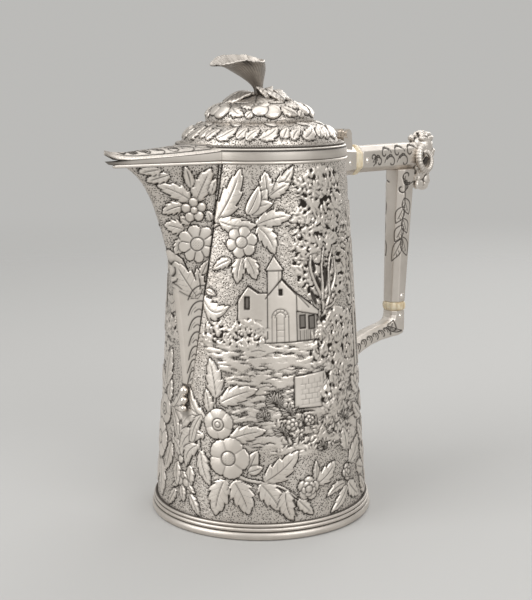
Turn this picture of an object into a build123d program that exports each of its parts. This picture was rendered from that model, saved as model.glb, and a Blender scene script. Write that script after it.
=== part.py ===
from build123d import *
import os
from math import cos, radians

# Coffee pot in chased silver. Millimetres, +Z up. The origin is on the axis of the body, on the
# plane that the foot stands on. The spout points to -X and the handle to +X.

# ---- body ----
RIM_Z = 195.3             # top of the rim band
FOOT_WALL_R = 57.7        # outside of the wall at the foot plane
RIM_WALL_R = 45.0         # outside of the wall at the rim
WALL = 0.9                # thickness of the raised silver
WALL_FOOT_Z = 0.6         # the wall stands on a ledge of the foot ring
FOOT_R = 60.0
FOOT_RING_H = 4.2
FOOT_MOULDING_H = 4.2
BOTTOM_PLATE_Z = 6.0
BOTTOM_PLATE_T = 1.0

# ---- mouth: a circle with a V for the spout ----
BAND_H = 4.8
BAND_R = 45.7
WIRE_H = 1.7
WIRE_R = 46.1
SPOUT_TIP = 100.4         # reach of the lip from the axis

# ---- strainer ----
STRAINER_T = 0.7
STRAINER_HOLE_D = 2.6
STRAINER_ROWS = 12
STRAINER_PITCH = 6.4
WINDOW_Z0 = 104.0         # opening in the wall behind the spout
WINDOW_Z1 = 184.0
WINDOW_HALF_0 = 4.6
WINDOW_HALF_1 = 11.5

# ---- handle ----
ARM_Z = 184.8
ARM_H = 14.9
ARM_W = 13.4
ARM_X0 = 74.2
ARM_X1 = 122.2
EDGE = 3.1                # chamfer along the edges of the handle
RING_T = 5.9
RING_H = 17.2
RING_W = 15.4
GRIP_TOP = 14.7
GRIP_FOOT = 11.8
GRIP_TOP_X = 114.8
GRIP_FOOT_X = 111.2
LOWER_RING_Z = 95.5
LOWER_RING_H = 5.0
LOWER_RING_W = 13.0
HANDLE_WALL_Y = 2.4       # the arm and the grip are hollow, and a tenon fills the end of each hollow
TENON = 7.0               # square lower tenons
TENON_L = 9.0
RIVET_D = 2.4
RIVET_HEAD_D = 4.6
BRACKET_W = 10.4

# ---- hinge ----
HINGE_X = 62.0
HINGE_Z = 199.5
PIN_D = 2.6
PIN_CLEARANCE = 0.05
KNUCKLE_R = 3.0
KNUCKLE_HALF = 3.6
CHEEK_IN = 3.8
CHEEK_OUT = 6.2

# ---- lid ----
PLATE_T = 1.2
PLATE_R = 45.2
PLATE_HOLE_R = 40.2
BEZEL_R = 42.4
BEZEL_T = 0.9
BEZEL_DROP = 5.2
DOME_T = 0.8
STUD_D = 3.0
TOP_Z = 243.6             # top of the flower


def wall_r(z):
    """Outside radius of the body wall at height z."""
    return FOOT_WALL_R + (RIM_WALL_R - FOOT_WALL_R) * z / RIM_Z


def cone(z0, z1, inset=0.0):
    """Solid cone that follows the outside of the body wall, inset by a distance."""
    half = [(0, z0), (wall_r(z0) - inset, z0), (wall_r(z1) - inset, z1), (0, z1)]
    return revolve(Plane.XZ * make_face(Polyline(half, close=True)), Axis.Z)


def turned(points):
    """Solid of revolution about Z from straight-sided (radius, z) points."""
    return revolve(Plane.XZ * make_face(Polyline(points, close=True)), Axis.Z)


def octagon(w, h, c):
    """Rectangle w by h with its corners cut by c, centred."""
    a, b = w / 2, h / 2
    pts = [(a - c, -b), (a, c - b), (a, b - c), (a - c, b), (c - a, b), (-a, b - c), (-a, c - b), (c - a, -b)]
    return make_face(Polyline(pts, close=True))


def bar_x(x0, x1, size0, size1, z):
    """Octagonal bar along X, size is (width in Y, height)."""
    ends = [(x0, size0), (x1, size1)]
    return loft([Plane((x, 0, z), x_dir=(0, 1, 0), z_dir=(1, 0, 0)) * octagon(w, h, EDGE) for x, (w, h) in ends])


def bar_z(ends):
    """Octagonal upright bar through (x, z, size) stations."""
    return loft([Plane((x, 0, z)) * octagon(s, s, EDGE * s / GRIP_TOP) for x, z, s in ends])


def rivet(x, z, half):
    """Rivet along Y with a domed head at each end, its heads seated at +-half."""
    shank = Cylinder(RIVET_D / 2, 2 * half, rotation=(90, 0, 0))
    ball = Sphere(RIVET_HEAD_D / 2)
    cap = Pos(0, -RIVET_HEAD_D * 0.3, 0) * ball - Pos(0, -RIVET_HEAD_D, 0) * Box(9, 2 * RIVET_HEAD_D, 9)
    heads = [Pos(0, half, 0) * cap, Pos(0, -half, 0) * (Rot(0, 0, 180) * cap)]
    return Pos(x, 0, z) * (shank + heads[0] + heads[1])


def spout_section(z, reach, half, nose, inset=0.0):
    """Triangle with a blunt nose: the spout's outside in plan at height z, inset by the wall."""
    root = wall_r(z) * 0.99 - half * half / (2 * wall_r(z))
    pts = [(-reach + inset * 1.5, -nose), (-root, -half + inset), (-root + 7, -half + inset)]
    pts += [(-root + 7, half - inset), (-root, half - inset), (-reach + inset * 1.5, nose)]
    return Plane((0, 0, z)) * make_face(Polyline(pts, close=True))


# Stations of the spout from its foot to its lip: height, reach of the ridge, half width, half nose.
SPOUT = [
    (76.0, 53.4, 3.6, 1.2),
    (84.0, 54.2, 4.9, 1.4),
    (99.3, 55.4, 7.0, 1.5),
    (122.0, 58.3, 9.8, 1.6),
    (141.3, 61.9, 12.2, 1.6),
    (156.9, 67.0, 13.9, 1.5),
    (172.1, 73.2, 15.2, 1.3),
    (182.4, 80.2, 16.0, 1.1),
    (188.6, 88.3, 16.4, 0.8),
    (191.5, 95.0, 16.5, 0.6),
    (RIM_Z, 99.4, 16.5, 0.5),
]


def mouth_ring(z0, z1, radius, half, tip0, tip1):
    """Band round the mouth and the spout, with the body and the spout cut out of it."""
    round_part = Pos(0, 0, (z0 + z1) / 2) * Cylinder(radius, z1 - z0)
    faces = []
    for z, tip in ((z0, tip0), (z1, tip1)):
        pts = [(-tip, -0.5), (-radius * cos(radians(22)), -half), (-30, -half)]
        pts += [(-30, half), (-radius * cos(radians(22)), half), (-tip, 0.5)]
        faces.append(Plane((0, 0, z)) * make_face(Polyline(pts, close=True)))
    return round_part + loft(faces) - cone(0, RIM_Z + 1) - spout_outside


# ---- body of the pot ----
vessel_outside = cone(WALL_FOOT_Z, RIM_Z)
vessel_inside = cone(-1, RIM_Z + 1, WALL)
spout_outside = loft([spout_section(*s) for s in SPOUT], ruled=True)
above_lip = (RIM_Z + 2.0, SPOUT_TIP, 16.5, 0.5)
spout_inside = loft([spout_section(*s, inset=WALL) for s in SPOUT + [above_lip]], ruled=True)

window_face = [(WINDOW_HALF_0, WINDOW_Z0), (WINDOW_HALF_1, WINDOW_Z1)]
window_face += [(-WINDOW_HALF_1, WINDOW_Z1), (-WINDOW_HALF_0, WINDOW_Z0)]
window = extrude(Plane.YZ * make_face(Polyline(window_face, close=True)), -70)
vessel_wall = vessel_outside - vessel_inside - window

spout_shell = spout_outside - spout_inside - cone(0, RIM_Z + 1)
spout_shell = spout_shell.solids().sort_by(SortBy.VOLUME)[-1]

bottom_plate = cone(BOTTOM_PLATE_Z, BOTTOM_PLATE_Z + BOTTOM_PLATE_T, WALL)

ring_low = Plane.XZ * make_face([
    Line((55.4, 0), (58.7, 0)),
    ThreePointArc((58.7, 0), (FOOT_R, 2.1), (58.7, FOOT_RING_H)),
    Line((58.7, FOOT_RING_H), (55.4, FOOT_RING_H)),
    Line((55.4, FOOT_RING_H), (55.4, 0)),
])
foot_ring = revolve(ring_low, Axis.Z) - cone(WALL_FOOT_Z, RIM_Z)
foot_ring = foot_ring - Pos(0, 0, 5) * Cylinder(56.3, 10 - 2 * WALL_FOOT_Z)

moulding_mid = FOOT_RING_H + FOOT_MOULDING_H * 0.54
moulding_top = FOOT_RING_H + FOOT_MOULDING_H
moulding_face = Plane.XZ * make_face([
    Line((56.0, FOOT_RING_H), (58.3, FOOT_RING_H)),
    ThreePointArc((58.3, FOOT_RING_H), (59.3, (FOOT_RING_H + moulding_mid) / 2), (58.2, moulding_mid)),
    ThreePointArc((58.2, moulding_mid), (58.8, (moulding_mid + moulding_top) / 2), (57.6, moulding_top)),
    Line((57.6, moulding_top), (56.0, moulding_top)),
    Line((56.0, moulding_top), (56.0, FOOT_RING_H)),
])
foot_moulding = revolve(moulding_face, Axis.Z) - cone(0, RIM_Z)

# Three graduated beads that end the ridge of the spout, each seated against the wall.
beads = []
for z, size in ((73.0, 5.0), (67.9, 4.4), (63.6, 3.6)):
    bead = Pos(-wall_r(z) - size * 0.25, 0, z) * Sphere(size / 2)
    beads.append(bead - cone(z - size, z + size))
spout_beads = Compound(children=[b.solid() for b in beads])

band_z = RIM_Z - BAND_H
rim_band = mouth_ring(band_z, RIM_Z, BAND_R, 17.3, 96.0, SPOUT_TIP)
rim_wire = mouth_ring(band_z - WIRE_H, band_z, WIRE_R, 17.5, 90.6, 94.6)

strainer = cone(WINDOW_Z0 - 4, WINDOW_Z1 + 3, WALL) - cone(WINDOW_Z0 - 5, WINDOW_Z1 + 4, WALL + STRAINER_T)
wedge = [(0, 0), (-80, -27), (-80, 27)]
strainer = strainer & extrude(make_face(Polyline(wedge, close=True)), RIM_Z)
for row in range(STRAINER_ROWS):
    z = WINDOW_Z0 + 4.5 + row * STRAINER_PITCH
    across = (4 if row > 6 else 2 if row > 1 else 1) + row % 2
    for k in range(across):
        y = (k - (across - 1) / 2) * 4.6
        strainer -= Pos(-50, y, z) * Cylinder(STRAINER_HOLE_D / 2, 30, rotation=(0, 90, 0))

# ---- handle ----
ring_x0 = ARM_X0 - RING_T
tenon_span = RING_T + 2 * TENON_L
tenon_w = ARM_W - 2 * HANDLE_WALL_Y
tenon_h = ARM_H - 2 * HANDLE_WALL_Y
upper_tenon = Pos(ARM_X0 - RING_T / 2, 0, ARM_Z) * Box(tenon_span, tenon_w, tenon_h)
upper_insulator = bar_x(ring_x0, ARM_X0, (RING_W, RING_H), (RING_W, RING_H), ARM_Z - 0.1) + upper_tenon

socket_rivet = rivet(ring_x0 - 5.0, 183.4, ARM_W / 2 + 0.3)
arm_rivet = rivet(ARM_X0 + 4.0, 184.0, ARM_W / 2)
upper_insulator = upper_insulator - socket_rivet - arm_rivet

socket_blank = bar_x(40, ring_x0, (ARM_W + 5.0, ARM_H + 5.0), (ARM_W + 0.6, ARM_H + 0.8), ARM_Z - 0.1)
upper_socket = socket_blank - cone(0, RIM_Z + 1) - upper_tenon - socket_rivet
upper_socket = upper_socket - Pos(0, 0, RIM_Z - 5) * Cylinder(WIRE_R, 14)

arm_hollow_l = GRIP_TOP_X - GRIP_TOP / 2 - ARM_X0
arm_hollow = Pos(ARM_X0 + arm_hollow_l / 2, 0, ARM_Z) * Box(arm_hollow_l, tenon_w, tenon_h)
handle_arm = bar_x(ARM_X0, ARM_X1, (ARM_W, ARM_H), (ARM_W, ARM_H), ARM_Z) - arm_hollow - arm_rivet
grip_top = ARM_Z - ARM_H / 2
grip_foot = LOWER_RING_Z + LOWER_RING_H / 2
handle_grip = bar_z([(GRIP_TOP_X, grip_top, GRIP_TOP), (GRIP_FOOT_X, grip_foot, GRIP_FOOT)])

lower_tenon = Pos(GRIP_FOOT_X, 0, LOWER_RING_Z) * Box(TENON, TENON, LOWER_RING_H + 2 * TENON_L)
grip_hollow_l = grip_top - 4.0 - grip_foot
grip_hollow = Pos(GRIP_FOOT_X, 0, grip_foot + grip_hollow_l / 2) * Box(TENON, TENON, grip_hollow_l)
ring_foot = LOWER_RING_Z - LOWER_RING_H / 2
grip_rivet = rivet(GRIP_FOOT_X + 0.3, grip_foot + 3.6, GRIP_FOOT / 2)
bracket_rivet = rivet(GRIP_FOOT_X, ring_foot - 3.8, BRACKET_W / 2)
lower_insulator = bar_z([(GRIP_FOOT_X, ring_foot, LOWER_RING_W), (GRIP_FOOT_X, grip_foot, LOWER_RING_W)])
lower_insulator = lower_insulator + lower_tenon - grip_rivet - bracket_rivet
handle_grip = handle_grip - grip_hollow - grip_rivet

# The bracket drops from the ring, turns an elbow and sweeps in and down to the body.
elbow_out = GRIP_FOOT_X + 5.9
bracket_face = Plane.XZ * make_face([
    Line((elbow_out, ring_foot), (elbow_out, 79.6)),
    ThreePointArc((elbow_out, 79.6), (elbow_out - 0.8, 77.9), (elbow_out - 2.6, 77.2)),
    Line((elbow_out - 2.6, 77.2), (100.0, 76.6)),
    ThreePointArc((100.0, 76.6), (72.5, 69.4), (50.0, 50.0)),
    Line((50.0, 50.0), (50.0, 66.0)),
    ThreePointArc((50.0, 66.0), (72.0, 80.2), (97.0, 85.8)),
    ThreePointArc((97.0, 85.8), (102.8, 87.2), (GRIP_FOOT_X - 5.9, 90.4)),
    Line((GRIP_FOOT_X - 5.9, 90.4), (GRIP_FOOT_X - 5.9, ring_foot)),
    Line((GRIP_FOOT_X - 5.9, ring_foot), (elbow_out, ring_foot)),
])
lower_bracket = extrude(bracket_face, BRACKET_W / 2, both=True)
lower_bracket = lower_bracket - cone(0, RIM_Z) - lower_tenon - bracket_rivet

upper_insulator_pins = Compound(children=[socket_rivet.solid(), arm_rivet.solid()])
lower_insulator_pins = Compound(children=[grip_rivet.solid(), bracket_rivet.solid()])

# Ram's head on the outer end of the arm: a neck against the corner, skull and muzzle, a horn each side.
neck = Pos(123.5, 0, 180.0) * Box(11.0, 10.0, 27.0)
skull = loft([
    Plane((136.4, 0, 164.5)) * Ellipse(3.4, 3.6),
    Plane((134.4, 0, 172.0)) * Ellipse(5.2, 5.0),
    Plane((133.2, 0, 180.0)) * Ellipse(8.8, 6.8),
    Plane((133.4, 0, 188.0)) * Ellipse(10.4, 7.8),
    Plane((131.0, 0, 195.0)) * Ellipse(9.6, 7.2),
    Plane((129.0, 0, 199.8)) * Ellipse(5.5, 5.0),
])
ram_head = neck + skull
for side in (-1, 1):
    ram_head += Pos(127.0, side * 8.2, 187.5) * Torus(4.8, 2.6, rotation=(90, 0, 0))
ram_head = ram_head - handle_arm - handle_grip
ram_head = ram_head.solids().sort_by(SortBy.VOLUME)[-1]

# ---- hinge ----
cheek_face = Plane.XZ * make_face([
    Line((56.6, 187.5), (66.4, 187.5)),
    Line((66.4, 187.5), (HINGE_X + KNUCKLE_R, HINGE_Z)),
    ThreePointArc((HINGE_X + KNUCKLE_R, HINGE_Z), (HINGE_X, HINGE_Z + KNUCKLE_R), (HINGE_X - KNUCKLE_R, HINGE_Z)),
    Line((HINGE_X - KNUCKLE_R, HINGE_Z), (56.6, 187.5)),
])
pin_hole = Pos(HINGE_X, 0, HINGE_Z) * Cylinder(PIN_D / 2, 30, rotation=(90, 0, 0))
cheeks = []
for side in (-1, 1):
    middle = side * (CHEEK_IN + CHEEK_OUT) / 2
    cheek = Pos(0, middle, 0) * extrude(cheek_face, (CHEEK_OUT - CHEEK_IN) / 2, both=True)
    cheek = cheek - pin_hole - socket_blank
    cheeks.append(cheek.solids().sort_by(Axis.Z)[-1])
hinge_fork = Compound(children=cheeks)

pin_head = Cylinder(PIN_D / 2 + 0.9, 0.9, rotation=(90, 0, 0))
hinge_pin = Cylinder(PIN_D / 2, 2 * CHEEK_OUT, rotation=(90, 0, 0))
hinge_pin = hinge_pin + Pos(0, CHEEK_OUT + 0.45, 0) * pin_head + Pos(0, -CHEEK_OUT - 0.45, 0) * pin_head
hinge_pin = Pos(HINGE_X, 0, HINGE_Z) * hinge_pin

# ---- lid ----
plate_top = RIM_Z + PLATE_T
curl_x = -92.0
plate_side = Plane.XZ * make_face([
    Line((60, RIM_Z), (curl_x, RIM_Z)),
    ThreePointArc((curl_x, RIM_Z), (-96.8, RIM_Z + 0.9), (-100.6, RIM_Z + 3.0)),
    Line((-100.6, RIM_Z + 3.0), (-99.9, RIM_Z + 4.0)),
    ThreePointArc((-99.9, RIM_Z + 4.0), (-96.2, RIM_Z + 2.1), (curl_x, plate_top)),
    Line((curl_x, plate_top), (60, plate_top)),
    Line((60, plate_top), (60, RIM_Z)),
])
cover = [(-100.2, -0.9), (-42.2, -16.6), (-20, -16.6), (-20, 16.6), (-42.2, 16.6), (-100.2, 0.9)]
outline = Pos(0, 0, RIM_Z) * Cylinder(PLATE_R, 20)
outline += Pos(0, 0, RIM_Z - 10) * extrude(make_face(Polyline(cover, close=True)), 20)
lid_plate = extrude(plate_side, 60, both=True) & outline
lid_plate = lid_plate - Pos(0, 0, RIM_Z) * Cylinder(PLATE_HOLE_R, 20)

bezel = turned([(BEZEL_R - BEZEL_T, RIM_Z - BEZEL_DROP), (BEZEL_R, RIM_Z - BEZEL_DROP),
                (BEZEL_R, RIM_Z), (BEZEL_R - BEZEL_T, RIM_Z)])
spout_gap = Pos(-40, 0, RIM_Z) * Box(60, 2 * 17.6, 20)
lid_bezel = bezel - spout_gap

moulding_r = 42.9
moulding_half = 1.5
lid_moulding = revolve(Plane.XZ * make_face([
    Line((moulding_r - moulding_half, plate_top), (moulding_r + moulding_half, plate_top)),
    ThreePointArc(
        (moulding_r + moulding_half, plate_top),
        (moulding_r, plate_top + 1.6),
        (moulding_r - moulding_half, plate_top),
    ),
]), Axis.Z)


def dome_shell(outside, inside, hole_r):
    """Thin dome turned between two (radius, z) splines, with a level land round its centre hole."""
    edges = [
        Spline(outside),
        Line(outside[-1], (hole_r, outside[-1][1])),
        Line((hole_r, outside[-1][1]), (hole_r, inside[-1][1])),
        Line((hole_r, inside[-1][1]), inside[-1]),
        Spline(inside),
        Line(inside[0], outside[0]),
    ]
    return revolve(Plane.XZ * make_face(edges), Axis.Z)


step_z = 208.4
lid_dome_lower = dome_shell(
    [(41.3, plate_top), (40.6, 200.0), (37.6, 204.2), (33.0, 207.0), (29.0, step_z)],
    [(40.2, plate_top), (39.6, 199.8), (36.9, 203.5), (32.6, 206.2), (29.0, step_z - DOME_T)],
    28.0,
)
crown_z = 219.6
lid_dome_upper = dome_shell(
    [(28.4, step_z), (27.3, 212.4), (23.6, 216.4), (15.0, 218.9), (7.0, crown_z)],
    [(27.5, step_z), (26.4, 212.0), (23.1, 215.6), (14.8, 218.0), (7.0, crown_z - DOME_T)],
    STUD_D / 2,
)
lid_dome_lower = lid_dome_lower.solid()
lid_dome_upper = lid_dome_upper.solid()

# Hinge leaf: a foot on the plate behind the dome, an arm over the rim and the knuckle.
leaf_face = Plane.XZ * make_face([
    Line((38.0, plate_top), (44.8, plate_top)),
    Line((44.8, plate_top), (47.4, 198.9)),
    Line((47.4, 198.9), (57.4, 198.2)),
    Line((57.4, 198.2), (HINGE_X, HINGE_Z)),
    Line((HINGE_X, HINGE_Z), (HINGE_X, HINGE_Z + KNUCKLE_R)),
    Line((HINGE_X, HINGE_Z + KNUCKLE_R), (38.0, 202.5)),
    Line((38.0, 202.5), (38.0, plate_top)),
])
knuckle = Pos(HINGE_X, 0, HINGE_Z) * Cylinder(KNUCKLE_R, 2 * KNUCKLE_HALF, rotation=(90, 0, 0))
running_hole = Cylinder(PIN_D / 2 + PIN_CLEARANCE, 30, rotation=(90, 0, 0))
dome_blank = lid_dome_lower + Pos(0, 0, 200) * Cylinder(39.4, 12)
lid_hinge_leaf = extrude(leaf_face, KNUCKLE_HALF, both=True) + knuckle
lid_hinge_leaf = lid_hinge_leaf - Pos(HINGE_X, 0, HINGE_Z) * running_hole - dome_blank - lid_moulding
lid_hinge_leaf = lid_hinge_leaf.solids().sort_by(SortBy.VOLUME)[-1]

# Finial: leaves laid on the crown, a trumpet flower that leans, and the stud and nut that hold them.
leaf_count = 6
leaves = turned([(2.0, 220.4), (7.0, 220.2), (7.0, 221.6), (2.4, 224.0), (2.0, 224.0)])
for k in range(leaf_count):
    blade = extrude(Ellipse(9.0, 5.2), 1.4)
    leaves += Rot(0, 0, 360 / leaf_count * k + 14) * (Pos(10.6, 0, 219.6) * (Rot(0, 5, 0) * blade))
crown_blank = turned([(0, 200), (27.0, 208.4), (25.8, 212.4), (22.6, 216.0), (15.0, 218.4), (0, crown_z - 0.2)])
finial_leaves = leaves - crown_blank - lid_dome_upper - Pos(0, 0, 221) * Cylinder(STUD_D / 2, 12)
finial_leaves = finial_leaves.solids().sort_by(SortBy.VOLUME)[-1]

LEAN = (-0.9, 0.436)      # direction in plan that the flower leans to
FLOWER = [(224.0, 0.0, 2.2), (229.0, 1.6, 3.0), (233.8, 4.6, 5.4), (238.2, 8.4, 9.4), (242.0, 11.6, 14.6)]
PETAL_ROLL = 1.1          # radius of the rolled rim


def trumpet(stations, grow):
    """Loft of level circles (height, lean, radius), each radius grown by a distance."""
    return loft([Plane((LEAN[0] * s, LEAN[1] * s, z)) * Circle(r + grow) for z, s, r in stations])


flower_out = trumpet(FLOWER, 0.0)
flower_in = trumpet([(z + 1.0, s, r) for z, s, r in FLOWER[1:]], -0.9)
finial_flower = flower_out - flower_in
rim_bead = Pos(LEAN[0] * 11.6, LEAN[1] * 11.6, TOP_Z - PETAL_ROLL) * Torus(14.5, PETAL_ROLL)
finial_flower = finial_flower + rim_bead

stud_top = 228.0
stud_foot = 213.4
finial_stud = Pos(0, 0, (stud_top + stud_foot) / 2) * Cylinder(STUD_D / 2, stud_top - stud_foot)
finial_flower = finial_flower - finial_stud
nut_h = 3.0
nut_z = crown_z - DOME_T - nut_h
finial_nut = Pos(0, 0, nut_z) * extrude(RegularPolygon(3.4, 6), nut_h) - finial_stud

NODES = {
    "vessel_wall": vessel_wall,
    "bottom_plate": bottom_plate,
    "foot_ring": foot_ring,
    "foot_moulding": foot_moulding,
    "spout_shell": spout_shell,
    "spout_beads": spout_beads,
    "rim_band": rim_band,
    "rim_wire": rim_wire,
    "strainer": strainer,
    "upper_socket": upper_socket,
    "upper_insulator": upper_insulator,
    "upper_insulator_pins": upper_insulator_pins,
    "handle_arm": handle_arm,
    "ram_head": ram_head,
    "handle_grip": handle_grip,
    "lower_insulator": lower_insulator,
    "lower_insulator_pins": lower_insulator_pins,
    "lower_bracket": lower_bracket,
    "hinge_fork": hinge_fork,
    "hinge_pin": hinge_pin,
    "lid_plate": lid_plate,
    "lid_bezel": lid_bezel,
    "lid_moulding": lid_moulding,
    "lid_dome_lower": lid_dome_lower,
    "lid_dome_upper": lid_dome_upper,
    "lid_hinge_leaf": lid_hinge_leaf,
    "finial_leaves": finial_leaves,
    "finial_flower": finial_flower,
    "finial_stud": finial_stud,
    "finial_nut": finial_nut,
}

os.makedirs("parts", exist_ok=True)
for name, shape in NODES.items():
    export_step(shape, f"parts/{name}.step")
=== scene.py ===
import math

import bpy
import numpy as np
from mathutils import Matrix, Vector


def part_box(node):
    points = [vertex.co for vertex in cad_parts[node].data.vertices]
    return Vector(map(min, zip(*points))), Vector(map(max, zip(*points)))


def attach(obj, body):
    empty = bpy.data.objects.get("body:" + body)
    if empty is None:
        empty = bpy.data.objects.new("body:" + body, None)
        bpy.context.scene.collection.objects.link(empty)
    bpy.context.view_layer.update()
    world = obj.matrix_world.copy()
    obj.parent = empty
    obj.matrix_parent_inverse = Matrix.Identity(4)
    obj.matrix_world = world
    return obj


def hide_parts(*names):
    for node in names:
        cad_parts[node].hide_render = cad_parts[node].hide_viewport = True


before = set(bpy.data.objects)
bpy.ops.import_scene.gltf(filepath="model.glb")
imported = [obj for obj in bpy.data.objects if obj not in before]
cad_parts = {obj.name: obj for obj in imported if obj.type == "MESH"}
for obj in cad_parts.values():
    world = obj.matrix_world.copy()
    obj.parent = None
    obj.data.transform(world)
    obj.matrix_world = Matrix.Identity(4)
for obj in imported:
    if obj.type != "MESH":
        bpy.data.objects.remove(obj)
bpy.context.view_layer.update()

# Sizes in this script are in millimetres in the frame's own axes, and become metres when a mesh is
# made. +Z is up, the spout points to -X and the handle to +X. Round the body, an angle is counted in
# degrees from the spout: positive on the -Y side, negative on the +Y side.
MM = 0.001
seeded = np.random.default_rng(7)


def corners(node):
    """Lowest and highest corner of a CAD node, in millimetres."""
    low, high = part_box(node)
    return np.array(low) / MM, np.array(high) / MM


RIM_Z = corners("vessel_wall")[1][2]
FOOT_R = 57.7
RIM_R = 45.0
TAPER = (RIM_R - FOOT_R) / RIM_Z


def wall_r(z):
    """Outside radius of the plain body wall at height z."""
    return FOOT_R + TAPER * z


# ---------------------------------------------------------------- materials

def new_material(name):
    """Material, its node tree and its main shader."""
    material = bpy.data.materials.new(name)
    material.use_nodes = True
    tree = material.node_tree
    return material, tree, tree.nodes["Principled BSDF"]


def add(tree, kind, **inputs):
    """Adds a node and sets its inputs by name."""
    node = tree.nodes.new(kind)
    for key, value in inputs.items():
        node.inputs[key].default_value = value
    return node


def noise(tree, place, scale, detail, roughness):
    """Output of a noise texture laid over place."""
    node = add(tree, "ShaderNodeTexNoise", Scale=scale, Detail=detail, Roughness=roughness)
    tree.links.new(place, node.inputs["Vector"])
    return node.outputs["Fac"]


def point_value(tree, key):
    """Output of one of the per-point numbers that the meshes carry."""
    node = tree.nodes.new("ShaderNodeAttribute")
    node.attribute_name = key
    return node.outputs["Fac"]


def ramp(tree, source, stops):
    """Colour ramp fed by source: stops are (position, colour)."""
    node = tree.nodes.new("ShaderNodeValToRGB")
    elements = node.color_ramp.elements
    while len(elements) < len(stops):
        elements.new(0.5)
    for element, (position, colour) in zip(elements, stops):
        element.position = position
        element.color = (*colour, 1.0)
    tree.links.new(source, node.inputs["Fac"])
    return node.outputs["Color"]


def maths(tree, operation, *values, clamp=False):
    """Output of a maths node; each value is a number or another node's output."""
    node = tree.nodes.new("ShaderNodeMath")
    node.operation = operation
    node.use_clamp = clamp
    for socket, value in zip(node.inputs, values):
        if isinstance(value, (int, float)):
            socket.default_value = value
        else:
            tree.links.new(value, socket)
    return node.outputs["Value"]


# Colours of the metal: bright, a little worn, and one dark colour for both the tarnish in the recesses and painted
# shade.
SILVER = (0.86, 0.80, 0.735)
WORN = (0.74, 0.68, 0.615)
TARNISH_AND_SHADE = (0.045, 0.038, 0.032)


def silver_material(name, chased, roughness):
    """Silver: polished on the high parts and dark in the recesses where the piece is chased; the dark is tarnish and
    painted shade.
    """
    material, tree, shader = new_material(name)
    link = tree.links.new
    shader.inputs["Metallic"].default_value = 1.0
    place = tree.nodes.new("ShaderNodeTexCoord").outputs["Object"]
    cloud = noise(tree, place, 55.0, 4.0, 0.6)
    fine = noise(tree, place, 900.0, 3.0, 0.7)
    tone = ramp(tree, cloud, [(0.3, WORN), (0.62, SILVER)])
    bump = add(tree, "ShaderNodeBump", Strength=0.35 if chased else 0.12, Distance=0.0002)
    if chased:
        dots = add(tree, "ShaderNodeTexVoronoi", Scale=1150.0, Randomness=1.0)
        link(place, dots.inputs["Vector"])
        pit = maths(tree, "SUBTRACT", 0.50, dots.outputs["Distance"], clamp=True)
        pit = maths(tree, "MULTIPLY_ADD", pit, 2.6, 0.17, clamp=True)
        pit = maths(tree, "MULTIPLY", pit, point_value(tree, "ground"))
        total = maths(tree, "ADD", pit, point_value(tree, "dark"), clamp=True)
        blend = tree.nodes.new("ShaderNodeMix")
        blend.data_type = "RGBA"
        blend.clamp_factor = True
        link(total, blend.inputs["Factor"])
        link(tone, blend.inputs[6])
        # The dark colour stands both for tarnish and for the shade painted into the per-point dark.
        blend.inputs[7].default_value = (*TARNISH_AND_SHADE, 1.0)
        link(blend.outputs[2], shader.inputs["Base Color"])
        rough = maths(tree, "MULTIPLY_ADD", fine, 0.12, roughness - 0.04)
        rough = maths(tree, "ADD", rough, maths(tree, "MULTIPLY", total, 0.3))
        link(maths(tree, "MULTIPLY", pit, -1.0), bump.inputs["Height"])
    else:
        link(tone, shader.inputs["Base Color"])
        rough = maths(tree, "ADD", maths(tree, "MULTIPLY", cloud, 0.14), roughness - 0.08)
        link(fine, bump.inputs["Height"])
    link(rough, shader.inputs["Roughness"])
    link(bump.outputs["Normal"], shader.inputs["Normal"])
    return material


def ivory_material():
    """Polished old ivory: cream, browner in long faint streaks, a little light under the surface."""
    material, tree, shader = new_material("ivory")
    link = tree.links.new
    place = tree.nodes.new("ShaderNodeTexCoord").outputs["Object"]
    stretch = add(tree, "ShaderNodeMapping")
    stretch.inputs["Scale"].default_value = (1.0, 1.0, 0.25)
    link(place, stretch.inputs["Vector"])
    streak = noise(tree, stretch.outputs["Vector"], 420.0, 5.0, 0.55)
    colour = ramp(tree, streak, [(0.3, (0.50, 0.37, 0.20)), (0.55, (0.80, 0.70, 0.52)), (0.8, (0.88, 0.81, 0.67))])
    link(colour, shader.inputs["Base Color"])
    shader.inputs["Roughness"].default_value = 0.32
    shader.inputs["Subsurface Weight"].default_value = 0.15
    shader.inputs["Subsurface Radius"].default_value = (0.004, 0.003, 0.002)
    bump = add(tree, "ShaderNodeBump", Strength=0.1, Distance=0.0002)
    link(streak, bump.inputs["Height"])
    link(bump.outputs["Normal"], shader.inputs["Normal"])
    return material


MATERIALS = {"chased_silver": silver_material("chased_silver", chased=True, roughness=0.36),
             "plain_silver": silver_material("plain_silver", chased=False, roughness=0.20),
             "ivory": ivory_material()}


# ---------------------------------------------------------------- relief

def smooth(edge0, edge1, x):
    """Eased step from 0 at edge0 to 1 at edge1."""
    t = np.clip((x - edge0) / (edge1 - edge0), 0.0, 1.0)
    return t * t * (3.0 - 2.0 * t)


def blur(field, across, along):
    """Gaussian blur with different spreads, in cells, across the columns and along the rows."""
    rows, cols = field.shape
    pad = int(3 * max(across, along)) + 1
    wide = np.pad(field, ((pad, pad), (0, 0)), mode="edge")
    f_rows = np.fft.fftfreq(wide.shape[0])[:, None]
    f_cols = np.fft.rfftfreq(cols)[None, :]
    gain = np.exp(-2.0 * (np.pi**2) * ((f_rows * along) ** 2 + (f_cols * across) ** 2))
    return np.fft.irfft2(np.fft.rfft2(wide) * gain, s=wide.shape)[pad:pad + rows]


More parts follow.
